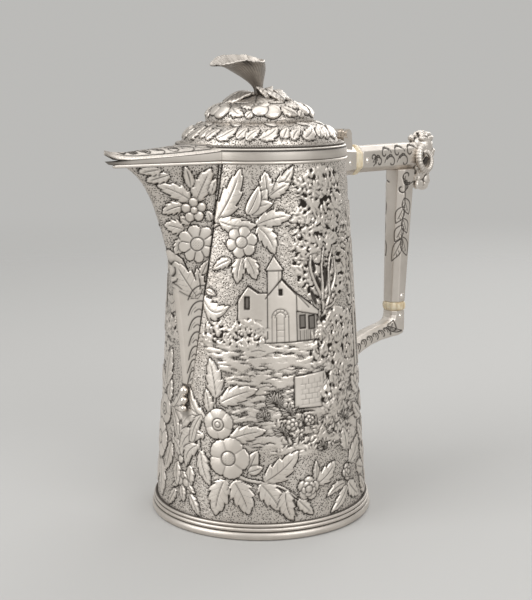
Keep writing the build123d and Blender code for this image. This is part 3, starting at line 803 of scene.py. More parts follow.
def vine(sheet, side):
    """Foliage round the back of the body, beside the handle."""
    s = side
    chance = np.random.default_rng(21)
    for start in (126, 146, 166):
        path = [(start + 5 * math.sin(k * 1.1 + start), 12 + 14.5 * k) for k in range(12)]
        if start == 126:
            path = path[:5]
        stem(sheet, on_side(path, s), 1.5)
        for k, (a, b) in enumerate(path):
            for way in (-1, 1):
                tip = (a + way * (10 + 3 * chance.random()), b + 6 + 5 * chance.random())
                leaf(sheet, (a * s, b + 3 * way), (tip[0] * s, tip[1]), 7.5, bend=0.06 * way * s, rise=0.9)
            if k % 3 == 1:
                flower(sheet, a * s, b + 5, 5.8, 5, 30 * k)


def make_body():
    """The chased wall, plain where the spout beads stand, with painted shade there, and open behind the spout."""
    sheet = body_sheet()
    for side in (1, -1):
        landscape(sheet, side)
        spray_upper(sheet, side)
        vine(sheet, side)
    seam = [(22.3, 189), (19.2, 170), (16.2, 151), (12.9, 130), (9.5, 110), (6.2, 92), (3.2, 76)]
    for side in (-1, 1):
        spray_lower(sheet, side)
        cut_line(sheet, on_side(seam, side), 0.5, 1.0)
    across = sheet.a[None, :] * DEGREE * wall_r(67.0)
    level = sheet.b[:, None]
    clear = np.exp(-((across / 3.6) ** 4)) * smooth(56, 60, level) * smooth(80, 76, level)
    sheet.height *= 1 - clear
    # The plain patch round the beads is darkened: painted shade round them.
    sheet.dark = sheet.dark * (1 - clear) + 0.55 * clear
    settle(sheet)
    angle = np.radians(sheet.a)[None, :]
    edge = smooth(BODY_FOOT, BODY_FOOT + 2.5, level) * smooth(BODY_TOP, BODY_TOP - 2.5, level)
    outer = turned(wall_r(level) - BODY_SINK + sheet.height * edge, angle, level)
    inner = turned(wall_r(level) - BODY_WALL, angle, level)
    put("chased_body", skin("chased_body", outer, inner, STEP, True, sheet.tones(), window_cut(sheet)),
        "pot", "vessel_wall")


def window_cut(sheet):
    """Cells of the coarse grid that are left out behind the spout, where the strainer is."""
    a = sheet.a[::STEP] + (sheet.a[1] - sheet.a[0]) * STEP / 2
    b = (sheet.b[::STEP][:-1] + sheet.b[::STEP][1:]) / 2
    half = np.interp(b, WINDOW, [2.5, 11.0])
    across = np.radians(np.abs(a))[None, :] * wall_r(b)[:, None]
    return (across < half[:, None]) & ((b > WINDOW[0]) & (b < WINDOW[1]))[:, None]


make_body()


# ---------------------------------------------------------------- spout

SPOUT_ROWS = np.array([
    (76.5, 53.6, 3.6, 1.2), (84, 54.2, 4.9, 1.4), (99.3, 55.4, 7.0, 1.5), (122, 58.3, 9.8, 1.6),
    (141.3, 61.9, 12.2, 1.6), (156.9, 67.0, 13.9, 1.5), (172.1, 73.2, 15.2, 1.3), (182.4, 80.2, 16.0, 1.1),
    (188.6, 88.3, 16.4, 0.8), (190.2, 91.8, 16.4, 0.7)])


def smooth_rows(rows, z):
    """Values of a table of stations at heights z, eased between the stations."""
    fine = np.linspace(rows[0, 0], rows[-1, 0], 400)
    kernel = np.exp(-0.5 * (np.arange(-30, 31) / 10.0) ** 2)
    kernel /= kernel.sum()
    out = []
    for k in range(1, rows.shape[1]):
        plain = np.interp(fine, rows[:, 0], rows[:, k])
        slope_lo = plain[0] - (plain[1] - plain[0]) * np.arange(30, 0, -1)
        slope_hi = plain[-1] + (plain[-1] - plain[-2]) * np.arange(1, 31)
        eased = np.convolve(np.concatenate([slope_lo, plain, slope_hi]), kernel, "valid")
        out.append(np.interp(z, fine, eased))
    return out


def spout_plan(z):
    """Reach of the ridge, half width at the wall, half width of the ridge, and the root, at heights z."""
    reach, half, nose = smooth_rows(SPOUT_ROWS, z)
    root = wall_r(z) * 0.99 - half * half / (2 * wall_r(z))
    return reach, half, nose, root


def make_spout():
    """V-shaped spout: two chased flanks that meet in a ridge."""
    cols, step = 121, 6
    z = np.linspace(SPOUT_ROWS[0, 0], SPOUT_ROWS[-1, 0], 44 * step + 1)
    reach, half, nose, root = spout_plan(z)
    length = np.hypot(reach - root, half - nose)
    sheet = Sheet(np.linspace(-1, 1, cols), z, lambda b: float(np.interp(b, z, length)), wraps=False)
    edge = [(1.1, 70), (1.1, 122), (0.9, 128), (0.7, 134), (0.5, 131), (0.28, 142), (0.0, 147)]
    panel(sheet, edge + [(-a, b) for a, b in edge[::-1]], 0.45)
    for side in (1, -1):
        chase_flank(sheet, side)
    settle(sheet, reach=1.6)

    def surface(inset):
        a = sheet.a[None, :]
        part = np.sqrt(a**2 + 0.0012)
        part = part / part.max()
        x = -(reach - inset * 1.5)[:, None] + (reach - inset * 1.5 - root)[:, None] * part
        y = nose[:, None] + (half - inset - nose)[:, None] * part
        y = -np.sign(a) * y * np.minimum(np.abs(a) / 0.03, 1)
        return np.stack([x, y, z[:, None] + 0 * a], -1)

    outer = surface(0.0)
    run = np.gradient(outer, axis=1)
    normal = unit(np.stack([-run[..., 1], run[..., 0]], -1))
    normal *= np.where(normal[..., :1] > 0, -1, 1)
    fade = smooth(0, 0.02, 1 - np.abs(sheet.a))[None, :] * smooth(z[-1], z[-1] - 2, z)[:, None]
    lift = sheet.height * fade - 0.3
    outer[..., :2] += normal * lift[..., None]
    put("chased_spout", skin("chased_spout", outer, surface(0.9), step, False, sheet.tones()), "pot", "spout_shell")


def chase_flank(sheet, side):
    """Flowers and leaves on one flank of the spout, above lobes that run down its ridge.

    Along the flank, 0 is the crease at the body and 1 the ridge.
    """

    def at(u, z):
        return ((1 - u) * side, z)

    rows = [
        (0.33, 171, 0.14, 187, 8.6, 0.0), (0.42, 171.6, 0.80, 179.6, 8.2, 0.05), (0.54, 169, 0.93, 165.5, 6.2, 0.05),
        (0.60, 157, 0.95, 159.5, 7.4, 0.05), (0.62, 152, 0.90, 145, 6.6, -0.05), (0.06, 161, 0.14, 166, 4.0, 0.0),
        (0.10, 124, 0.30, 137, 4.6, 0.0), (0.60, 184.5, 0.95, 181.5, 5.0, 0.0), (0.66, 187.5, 0.93, 186, 4.6, 0.0),
        (0.46, 160, 0.62, 163.5, 5.0, 0.0), (0.10, 174, 0.05, 182, 4.2, 0.0), (0.16, 134, 0.04, 141, 4.4, 0.0)]
    for u0, b0, u1, b1, width, bend in rows:
        leaf(sheet, at(u0, b0), at(u1, b1), width, bend=bend * side)
    petal_leaf(sheet, at(0.39, 178), at(0.38, 188.5), 4.4)
    berries = 166.5
    for k in range(5):
        t = math.radians(72 * k + 20)
        bead(sheet, (1 - 0.37 + 3.9 * math.cos(t) / 29.0) * side, berries + 3.9 * math.sin(t), 2.35, rise=0.8)
    bead(sheet, (1 - 0.37) * side, berries, 1.7, rise=0.9)
    flower(sheet, (1 - 0.33) * side, 149.5, 9.6, 8, 10, rise=0.9, heart=0.33)
    leaf(sheet, at(0.25, 122), at(0.82, 141), 9.0, bend=-0.05 * side, veins=3.4)
    for k, z in enumerate((126, 118, 110, 102, 94.5, 87.5, 81.5)):
        reach = 0.62 if k < 5 else 0.75
        arch = [at(0.0, z + 2.0), at(0.14, z + 2.4), at(0.34, z + 1.4), at(0.5, z - 1.2), at(reach, z - 5.0)]
        cut_line(sheet, arch, 0.42, 1.0, curved=True)
        cut_line(sheet, [at(0.02, z - 2.6), at(0.16, z - 1.6), at(0.34, z - 3.4)], 0.34, 0.9, curved=True)
        cut_line(sheet, [at(0.3, z - 0.8), at(0.44, z - 2.4), at(0.5, z - 4.6)], 0.24, 0.5, curved=True)
    cut_line(sheet, [at(0.0, z) for z in (77, 100, 130, 160, 190)], 0.5, 1.0)


make_spout()


# ---------------------------------------------------------------- mouth

CREASE = 22.3
LIP_RUN = np.array([(-42.3, 195.3), (-50, 194.5), (-60, 193.8), (-72, 193.2), (-85, 192.5), (-94, 192.1),
                    (-100.6, 192.3)])
COVER_EDGE = np.array([(-36, 196.1), (-42.3, 195.9), (-52, 195.0), (-64, 194.1), (-76, 193.6), (-88, 193.2),
                       (-94, 193.9), (-100.6, 196.6)])
COVER_CROWN = np.array([(-36, 198.6), (-48, 198.3), (-59, 197.9), (-68, 197.3), (-80, 196.8), (-90, 196.3),
                        (-96, 196.6), (-100.6, 197.6)])


def along_x(table, x):
    """Value of a table of (x, value) at x; the table runs towards the spout's tip."""
    return np.interp(-x, -table[:, 0], table[:, 1])


def mouth_outline(radius, tip):
    """Closed plan of the mouth: most of a circle, then straight to the spout's tip and back."""
    phi = np.radians(np.linspace(CREASE, 360 - CREASE, 320))
    circle = np.stack([-radius * np.cos(phi), -radius * np.sin(phi)], -1)
    t = np.linspace(0, 1, 91)[1:-1, None]
    point = np.array([-tip, 0.0])
    blunt = np.array([0, 0.45])
    out = circle[-1] * (1 - t) + (point + blunt) * t
    back = (point - blunt) * (1 - t) + circle[0] * t
    return np.vstack([circle, out, back])


def lip_drop(plan):
    """How far the lip of the spout dips below the level of the rim."""
    return RIM_Z - along_x(LIP_RUN, plan[:, 0])


def make_mouth():
    """Flat band round the mouth and spout, and the wire under it, both with painted shade."""
    loops, dark = [], []
    # The last number of each row is its darkness: painted shade and reflection, light on the outer face and dark on
    # the top, the lower edge and the inside.
    for radius, tip, fall, shade in (
            (44.5, 86.0, 4.8, 0.6), (45.4, 97.2, 4.8, 0.9), (45.7, 97.8, 4.5, 0.4), (45.7, 98.4, 4.1, 0.30),
            (45.75, 99.2, 2.4, 0.24), (45.7, 100.1, 0.7, 0.34), (45.6, 100.3, 0.2, 0.85), (45.2, 99.9, 0.0, 0.9),
            (44.5, 98.4, 0.0, 0.8), (44.4, 97.6, 0.4, 0.5)):
        plan = mouth_outline(radius, tip)
        dip = lip_drop(plan)
        loops.append(np.column_stack([plan, RIM_Z - dip - fall * (1 - dip / 4.8)]))
        # Darker towards the spout's tip: painted shade of the opening between lid and lip.
        dark.append(np.clip(shade + 0.45 * smooth(-86, -98, plan[:, 0]), 0, 0.95))
    put("mouth_band", ring_of_loops("mouth_band", loops, dark), "pot", "rim_band")
    loops, dark = [], []
    for turn in np.linspace(0, 2 * np.pi, 14, endpoint=False):
        plan = mouth_outline(45.2 + 0.85 * math.cos(turn), 95.2 + 0.6 * math.cos(turn))
        loops.append(np.column_stack([plan, np.full(len(plan), RIM_Z - 5.65 + 0.85 * math.sin(turn))]))
        # Dark all round but on its outer face: painted shade under the band.
        dark.append(0.12 + 0.83 * smooth(0.75, 0.2, math.cos(turn)))
    put("mouth_wire", ring_of_loops("mouth_wire", loops, dark), "pot", "rim_wire")


def half_round(r, z, deep, tall):
    """Points of a half-round moulding as (radius, height, darkness), dark with painted shade where it meets its
    neighbours.
    """
    return [(r + deep * math.cos(t), z + tall * math.sin(t), 0.16 + 0.74 * abs(math.sin(t)) ** 7)
            for t in np.linspace(-np.pi / 2, np.pi / 2, 14)]


FOOT_INSIDE = 55.4
WIRES_INSIDE = 56.4


def make_foot():
    """Half-round foot ring and the double moulding above it."""
    turn = np.linspace(-np.pi, np.pi, 480, endpoint=False)
    # The inner faces of the rings are painted dark as shade.
    ring = [(FOOT_INSIDE, 0.0, 0.5)] + half_round(58.7, 2.1, 1.28, 2.1) + [(FOOT_INSIDE, 4.2, 0.9)]
    wires = half_round(58.25, 5.35, 1.0, 1.1) + half_round(57.9, 7.42, 0.8, 0.95)
    wires = [(WIRES_INSIDE, 4.25, 0.9)] + wires + [(WIRES_INSIDE, 8.35, 0.9)]
    for name, node, profile in (("foot_round", "foot_ring", ring), ("foot_wires", "foot_moulding", wires)):
        loops = [turned(r, turn, z) for r, z, _ in profile]
        put(name, ring_of_loops(name, loops, [shade for _, _, shade in profile]), "pot", node)


make_mouth()
make_foot()


# ---------------------------------------------------------------- lid

def resample(line, count):
    """Spaces the points of a run evenly; gives the points and the run's length at each."""
    run = np.concatenate([[0], np.cumsum(np.hypot(*np.diff(line, axis=0).T))])
    even = np.linspace(0, run[-1], count)
    return np.stack([np.interp(even, run, line[:, k]) for k in (0, 1)], -1), even


DOME_CELL = 0.42
DOME_STEP = 4
DOME_SINK = 0.3
DOME_WALL = 0.8


def make_dome(name, node, profile, chase):
    """Turned and chased dome from its profile, drawn from the outer edge to the middle."""
    eased = rounded(np.array(profile, float), 3)
    length = np.hypot(*np.diff(eased, axis=0).T).sum()
    rows = (int(length / DOME_CELL) - 1) // DOME_STEP * DOME_STEP + 1
    line, run = resample(eased, rows)
    cols = int(2 * np.pi * line[:, 0].max() / DOME_CELL / DOME_STEP) * DOME_STEP
    sheet = Sheet(np.linspace(-180, 180, cols, endpoint=False), run,
                  lambda b: DEGREE * float(np.interp(b, run, line[:, 0])), wraps=True)
    chase(sheet)
    settle(sheet, reach=1.6)
    along = unit(np.gradient(line, axis=0))
    out = np.stack([along[:, 1], -along[:, 0]], -1)
    fade = smooth(0, 1.2, run) * smooth(run[-1], run[-1] - 1.2, run)
    angle = np.radians(sheet.a)[None, :]

    def surface(offset):
        return turned(line[:, :1] + out[:, :1] * offset, angle, line[:, 1:] + out[:, 1:] * offset)

    outer = surface(sheet.height * fade[:, None] - DOME_SINK)
    inner = surface(np.full_like(sheet.height, -DOME_WALL))
    put(name, skin(name, outer, inner, DOME_STEP, True, sheet.tones()), "lid", node)


def chase_lower_tier(sheet):
    """Ring of tilted leaves and pods on a stippled ground."""
    for k in range(11):
        a = -180 + 360 / 11 * k
        leaf(sheet, (a - 2, 4.6), (a + 13, 12.6), 6.6, bend=0.1, veins=3.0, rise=1.1)
        petal_leaf(sheet, (a + 14, 5.0), (a + 21, 12.0), 5.4, rise=1.1)
        petal_leaf(sheet, (a + 13, 15.0), (a + 2, 17.2), 3.6, rise=0.8)
        leaf(sheet, (a + 21, 4.2), (a + 31, 10.5), 5.4, bend=-0.08, veins=3.0, rise=1.0)
        cut_line(sheet, [(a + 20, 15.5), (a + 24, 13.5), (a + 29, 15.0)], 0.35, 0.9, curved=True)


def chase_upper_tier(sheet):
    """Round fruits between pairs of leaves on a stippled ground."""
    for k in range(6):
        a = -180 + 60 * k
        bead(sheet, a, 7.4, 4.9, rise=1.3)
        bead(sheet, a - 13, 8.0, 4.0, rise=1.2)
        bead(sheet, a - 7, 12.6, 2.8, rise=0.9)
        leaf(sheet, (a + 13, 9.5), (a + 29, 4.0), 6.2, bend=0.1, rise=1.1, veins=2.8)
        leaf(sheet, (a + 24, 12.5), (a + 40, 8.0), 5.4, bend=-0.08, rise=1.0, veins=2.8)
        petal_leaf(sheet, (a + 33, 3.0), (a + 39, 7.0), 4.4, rise=0.9)
        leaf(sheet, (a + 40, 13.0), (a + 52, 15.0), 4.4, rise=0.8, veins=2.4)
        leaf(sheet, (a + 2, 17.5), (a + 30, 16.5), 4.2, rise=0.7, veins=2.4)


make_dome("lid_lower_tier", "lid_dome_lower",
          [(41.2, 196.5), (41.2, 198.6), (40.0, 201.8), (37.4, 204.6), (33.6, 207.0), (30.2, 208.2), (28.6, 208.5)],
          chase_lower_tier)
make_dome("lid_upper_tier", "lid_dome_upper",
          [(28.4, 208.0), (28.8, 210.2), (27.8, 213.0), (24.6, 216.2), (19.5, 218.2), (13.0, 219.2), (7.0, 219.6)],
          chase_upper_tier)


def make_border_wire():
    """Narrow stippled moulding that frames the dome."""
    angle = np.linspace(-np.pi, np.pi, 1440, endpoint=False)[None, :]
    turn = np.linspace(0, 2 * np.pi, 20, endpoint=False)[:, None]
    low, high = corners("lid_moulding")
    bite = 0.22 * (np.cos(angle * 170) ** 2) * np.clip(np.sin(turn) + 0.4, 0, 1)
    r = 42.9 + (1.45 - bite) * np.cos(turn)
    z = (low[2] + high[2]) / 2 + ((high[2] - low[2]) / 2 - bite) * np.sin(turn)
    # The bites are dark as stippling; the lower half of the wire is darker as painted shade.
    dark = np.clip(bite * 4.5 + 0.3 + 0.5 * (np.sin(turn) < 0.2), 0, 1)
    put("lid_border", ring_of_loops("lid_border", turned(r, angle, z), dark, flip=True), "lid", "lid_moulding")


make_border_wire()


def scroll(sheet, a, b, radius, turn, hand=1, curl=1.4, width=0.3, depth=0.9):
    """Engraved C-scroll: a line that winds in from its tail."""
    t = np.linspace(0, 1, 22)
    angle = math.radians(turn) + hand * t * curl * np.pi * 1.3
    r = radius * (1.0 - 0.78 * t)
    points = np.stack([a + r * np.cos(angle) / sheet.mm_per_a(b), b + r * np.sin(angle)], -1)
    cut_line(sheet, points, width, depth)


def engraved_leaf(sheet, base, tip, width, side=1):
    """Leaf drawn only with cut lines: an outline, a midrib and shading strokes along one edge."""
    scale = sheet.mm_per_a((base[1] + tip[1]) / 2)
    along = np.array([(tip[0] - base[0]) * scale, tip[1] - base[1]])
    length = max(float(np.hypot(*along)), 1e-6)
    across = np.array([-along[1], along[0]]) / length

    def at(u, o):
        return base[0] + (along[0] * u + across[0] * o) / scale, base[1] + along[1] * u + across[1] * o

    def half(t):
        return width / 2 * np.sin(np.pi * t**0.8)

    for way in (-1, 1):
        cut_line(sheet, [at(t, way * half(t)) for t in np.linspace(0, 1, 12)], 0.4, 1.0)
    cut_line(sheet, [base, at(0.75, 0.0)], 0.32, 0.9)
    for t in (0.3, 0.45, 0.6, 0.75):
        cut_line(sheet, [at(t, side * half(t)), at(t - 0.1, side * half(t) * 0.45)], 0.3, 0.9)


def make_lid_plate():
    """Flat plate round the dome and, in one with it, the engraved cover of the spout."""
    low, _ = corners("lid_plate")
    under, top = low[2], 196.5
    step = 4
    x = np.linspace(-36.0, low[0], 41 * step + 1)
    b = -x
    half = np.interp(b, [36, 42.2, -low[0]], [17.4, 16.7, 0.35])
    sheet = Sheet(np.linspace(-1, 1, 18 * step + 1), b, lambda q: float(np.interp(q, b, half)), wraps=False)
    sheet.ground[:] = 0.25
    for side in (1, -1):
        for q, r, turn, hand in ((48, 5.6, 200, 1), (56, 4.6, 20, -1), (64, 4.0, 210, 1), (71, 3.2, 30, -1),
                                 (78, 2.4, 200, 1), (52, 3.0, 90, 1), (61, 2.6, -60, -1)):
            scroll(sheet, side * 0.5, q, r, turn * side, hand * side)
        for q in (46, 54, 62, 70, 78, 84):
            engraved_leaf(sheet, (side * 0.12, q + 4), (side * 0.55, q - 1), 2.6, side)
        cut_line(sheet, [(side * 0.86, 46), (side * 0.84, 84), (side * 0.7, 94)], 0.28, 0.8)
        engraved_leaf(sheet, (side * 0.8, 45), (side * 0.35, 41), 3.0, side)
    for q in (44, 50, 58, 66, 74, 82, 88):
        engraved_leaf(sheet, (0, q), (0, q + 6), 3.2)
    part = sheet.a[None, :]
    edge, crown = along_x(COVER_EDGE, x)[:, None], along_x(COVER_CROWN, x)[:, None]
    fade = smooth(1.0, 0.94, np.abs(part)) * smooth(-low[0], -low[0] - 2, b)[:, None]
    arched = (crown - edge) * (1 - np.abs(part) ** 2.4)
    z_top = edge + arched + sheet.height * fade - 0.35 * smooth(0.95, 1.0, np.abs(part))
    y = -half[:, None] * part
    outer = np.stack(np.broadcast_arrays(x[:, None], y, z_top), -1)
    inner = np.stack(np.broadcast_arrays(x[:, None], y * 0.99, edge - 1.1 + arched), -1)
    sheet.dark = np.clip(sheet.dark + 0.12 + 0.4 * smooth(93, 100, b)[:, None], 0, 0.95)
    tones = {key: numbers[:, ::-1] for key, numbers in sheet.tones().items()}
    put("spout_cover", skin("spout_cover", outer[:, ::-1], inner[:, ::-1], step, False, tones), "lid", "lid_plate")
    turn = np.linspace(-np.pi, np.pi, 360, endpoint=False)
    # The last number of each point is its darkness: painted shade, dark underneath, light on the outer side and
    # darker inward across the top.
    profile = [(40.2, under, 0.9), (44.9, under, 0.95), (45.2, under + 0.3, 0.8),
               (45.2, top - 0.3, 0.05), (44.9, top, 0.1), (40.2, top, 0.4)]
    loops = [turned(r, turn, z) for r, z, _ in profile]
    mesh = ring_of_loops("lid_rim", loops, [shade for _, _, shade in profile], flip=True)
    mesh.polygons.foreach_set("use_smooth", np.zeros(len(mesh.polygons), bool))
    put("lid_rim", mesh, "lid", "lid_plate")


make_lid_plate()


# ---------------------------------------------------------------- finial

LID_TOP = 217.6

def cast_leaf(turn, reach, width, rise, droop, curl, base_z):
    """Thin cast leaf that springs from the middle of the lid; gives its outer and inner grids.

    Turn is the angle in plan, counted as round the body.
    """
    start = 3.0
    t = np.linspace(0, 1, 41)[:, None]
    s = np.linspace(-1, 1, 25)[None, :]
    shape = np.sin(np.pi * np.clip(t * 0.9 + 0.06, 0, 1)) ** 0.55 * (1 + 0.12 * np.abs(np.sin(t * np.pi * 3)))
    across = width / 2 * shape * s
    along = start + (reach - start) * t - 0.12 * reach * np.abs(s) * t
    fold = curl * (s**2) * shape
    rib = -0.35 * np.exp(-((across / 0.5) ** 2))
    phase = (along - 0.8 * np.abs(across)) % 2.8 - 1.4
    vein = -0.16 * np.exp(-((phase / 0.4) ** 2)) * (np.abs(across) > 0.6)
    z = base_z + rise * np.sin(np.pi * t**0.8) - droop * t**2 + fold + rib + vein
    phi = math.radians(turn)
    x = -(along * math.cos(phi) - across * math.sin(phi))
    y = -(along * math.sin(phi) + across * math.cos(phi))
    under = np.clip(z - 1.5 * (1 - 0.25 * np.abs(s)), LID_TOP, None)
    dark = np.clip(-1.8 * rib - 2.4 * vein, 0, 0.8) + 0.25 * smooth(0.95, 0.7, np.abs(s)) + 0.05
    return np.stack([x, y, z], -1), np.stack([x, y, under], -1), dark


def make_leaf_cluster():
    """Ring of overlapping cast leaves, all closed pieces of one mesh."""
    points, faces, dark = [], [], []
    for k, leaf_shape in enumerate((
            (40, 19.5, 19.0, 1.2, 3.4, -0.7), (-14, 21.0, 15.0, 2.7, 3.2, -0.6), (92, 18.5, 12.0, 2.4, 2.4, 0.7),
            (126, 18.5, 11.0, 3.1, 2.2, 0.8), (168, 18.5, 14.0, 2.0, 2.6, -0.6), (-58, 20.0, 14.0, 2.7, 2.8, -0.6),
            (-102, 19.0, 14.0, 2.0, 2.8, 0.6), (-146, 19.0, 14.0, 2.7, 2.8, -0.6), (66, 15.0, 8.0, 3.6, 0.4, 0.9))):
        top, bottom, shade = cast_leaf(*leaf_shape, 221.0 + 0.5 * (k % 3))
        rows, cols = top.shape[:2]
        size = rows * cols
        upper = 2 * k * size + np.arange(size).reshape(rows, cols)
        quads = grid_quads(rows, cols, wrap_cols=False) + 2 * k * size
        edge = np.concatenate([upper[0, :], upper[1:, -1], upper[-1, -2::-1], upper[-2:0:-1, 0]])
        after = np.roll(edge, -1)
        faces += quads[:, ::-1].tolist() + (quads + size).tolist()
        faces += np.stack([edge, after, after + size, edge + size], -1).tolist()
        points += [top.reshape(-1, 3), bottom.reshape(-1, 3)]
        # The undersides of the leaves are painted dark as the shade beneath them.
        dark += [shade.reshape(-1), np.full(size, 0.45)]
    mesh = mesh_from("leaf_cluster", np.vstack(points), faces, shades(np.concatenate(dark)))
    put("leaf_cluster", mesh, "lid", "finial_leaves")


make_leaf_cluster()

LEAN = np.array([-0.90, 0.436])
PETAL = 0.55


def make_flower():
    """Trumpet flower that leans over the spout: five flared petals on a curved throat."""
    stations = np.array([
        (221.5, 0, 3.0), (224, 0.3, 2.3), (226.5, 1.0, 2.9), (229, 2.3, 4.5), (231.5, 4.0, 6.6),
        (233.8, 5.8, 8.8), (236.2, 7.7, 10.8), (238.2, 9.3, 12.3), (240.2, 10.6, 13.5), (241.6, 11.5, 14.4)])
    t = np.linspace(0, 1, 64)
    grid = np.linspace(0, 1, len(stations))
    z, shift, radius = (np.interp(t, grid, stations[:, k]) for k in range(3))
    shift, radius = (np.convolve(np.pad(run, 3, mode="edge"), np.ones(7) / 7, "valid") for run in (shift, radius))
    theta = np.linspace(0, 2 * np.pi, 160, endpoint=False)[None, :]
    lean = LEAN / np.hypot(*LEAN)
    side = np.array([-lean[1], lean[0]])
    petals = 0.5 - 0.5 * np.cos(5 * (theta - np.pi / 2))

    def ring(tt, zz, ss, rr):
        flare = smooth(0.55, 1.0, tt)[:, None]
        r = rr[:, None] * (1 + flare * 0.07 * (petals**0.6 - 0.55))
        ripple = 0.10 * flare * np.cos(15 * theta) + 0.08 * flare * np.cos(35 * theta + 1)
        sag = 1.3 * np.cos(theta) ** 2 + 2.4 * np.clip(np.cos(theta), 0, 1) ** 2 + 1.8 * np.sin(theta) + 1.3
        drop = flare**1.5 * sag - flare * 0.7 * (1 - petals**0.5)
        a = r * np.cos(theta) + ss[:, None]
        b = r * np.sin(theta)
        x = a * lean[0] + b * side[0]
        y = a * lean[1] + b * side[1]
        return np.stack([x, y, zz[:, None] - drop + ripple], -1)

    outer = ring(t, z, shift, radius)
    inside = t[::-1][:44]
    inner_z, inner_r = np.interp(inside, t, z) + PETAL, np.interp(inside, t, radius) - PETAL
    inner = ring(inside, inner_z, np.interp(inside, t, shift), inner_r)
    lip = (outer[-1] + inner[0]) / 2
    lip[..., 2] += 0.25
    rings = np.concatenate([outer, lip[None], inner])
    flute = np.clip(np.cos(25 * theta), 0, 1) ** 2
    up, down = t[:, None], inside[:, None]
    # Painted shade: darker at the foot of the throat, between the petals where they flare, and deep inside the
    # throat; the stripes follow the fluting.
    dark_out = 0.50 + 0.35 * smooth(0.3, 0.0, up) + 0.35 * (1 - petals) ** 4 * smooth(0.5, 0.9, up)
    dark_out = dark_out + 0.22 * np.clip(np.cos(40 * theta + 5 * up), 0, 1) ** 2 * smooth(0.2, 0.6, up)
    dark_in = 0.38 + 0.60 * flute * smooth(1.0, 0.5, down) + 0.35 * smooth(0.75, 0.4, down)
    dark = np.clip(np.concatenate([dark_out, 0 * theta, dark_in]), 0, 1)
    put("trumpet_flower", tube("trumpet_flower", rings, shades(dark)), "lid", "finial_flower")


make_flower()


# ---------------------------------------------------------------- handle

def eight_sided(f, g, c):
    """Corners of an eight-sided section as (front, across), from the middle of the front.

    f and g are the half sizes to the front and across, and c is how much is cut off each corner.
    """
    return np.array([(f, 0), (f, g - c), (f - c, g), (-f + c, g), (-f, g - c), (-f, -g + c), (-f + c, -g),
                     (f - c, -g), (f, -g + c), (f, 0)])


BAR_CELL = 0.24


def bar(name, node, stations, chase=None, slot="chased_silver", ease=4, round_ends=0.5):
    """Eight-sided bar through stations.

    A station is (centre x, centre z, across x, across z, half depth in Y, half size across, cut corner).
    The drawn sheet has 0 at the middle of the -Y face and runs both ways round the bar.
    """
    stations = np.array(stations, float)
    run = np.concatenate([[0], np.cumsum(np.hypot(*np.diff(stations[:, :2], axis=0).T))])
    b = np.linspace(0, run[-1], max(int(run[-1] / BAR_CELL), 8) + 1)
    cols = np.stack([np.interp(b, run, column) for column in stations.T], -1)
    nominal = eight_sided(*stations[len(stations) // 2, 4:7])
    around = np.concatenate([[0], np.cumsum(np.hypot(*np.diff(nominal, axis=0).T))])
    total = around[-1]
    a = np.linspace(-total / 2, total / 2, int(total / BAR_CELL), endpoint=False)
    sheet = Sheet(a, b, lambda q: 1.0, wraps=False)
    sheet.ground[:] = 0.0
    if chase:
        chase(sheet)
    loops = np.array([[np.interp(a % total, around, axis) for axis in eight_sided(*row[4:7]).T] for row in cols])
    loops = loops.transpose(0, 2, 1)
    for _ in range(ease):
        loops = 0.5 * loops + 0.25 * np.roll(loops, 1, axis=1) + 0.25 * np.roll(loops, -1, axis=1)
    along = np.roll(loops, -1, axis=1) - np.roll(loops, 1, axis=1)
    normal = unit(np.stack([along[..., 1], -along[..., 0]], -1))
    normal *= np.sign((normal * loops).sum(-1).mean())
    fade = smooth(0, 0.8, b) * smooth(b[-1], b[-1] - 0.8, b)
    loops = loops + normal * (sheet.height * fade[:, None])[..., None]
    near_end = np.clip(1 - np.minimum(b, b[-1] - b) / max(round_ends, 1e-3), 0, 1)[:, None]
    loops *= (1 - (round_ends / cols[:, 4:5]) * near_end**2)[..., None]
    across = cols[:, 2:4] / np.hypot(cols[:, 2], cols[:, 3])[:, None]
    x = cols[:, :1] + loops[..., 1] * across[:, :1]
    z = cols[:, 1:2] + loops[..., 1] * across[:, 1:]
    put(name, tube(name, np.stack([x, -loops[..., 0], z], -1), shades(sheet.dark)), "pot", node, slot)


def acanthus(sheet, a, b, size, turn, hand=1):
    """Engraved C-scroll with short curved strokes fanning from its outer side."""
    scroll(sheet, a, b, size, turn, hand, curl=1.25, width=0.54, depth=1.0)
    for k in range(3):
        at = math.radians(turn) + hand * (0.15 + 0.55 * k)
        root = size * (0.95 - 0.1 * k)
        points = [(a + (root + way) * math.cos(at - hand * back), b + (root + way) * math.sin(at - hand * back))
                  for way, back in ((0.5, 0.0), (1.3, 0.22), (1.9, 0.62))]
        cut_line(sheet, points, 0.46, 1.0, curved=True)


def engrave_arm(sheet):
    """Acanthus scrolls over the side faces."""
    sheet.dark[:] = 0.14
    for middle in (0.0, sheet.a[0]):
        for b, off, size, turn, hand in ((9, 0.6, 2.8, 150, -1), (14, -2.2, 3.4, -60, 1), (19, 2.6, 3.8, 60, -1),
                                         (25, -2.8, 4.2, -60, 1), (30.5, 3.0, 4.4, 60, -1), (36.5, -3.0, 4.6, -60, 1),
                                         (42, 3.0, 4.6, 60, -1)):
            acanthus(sheet, middle + off, b, size, turn, hand)


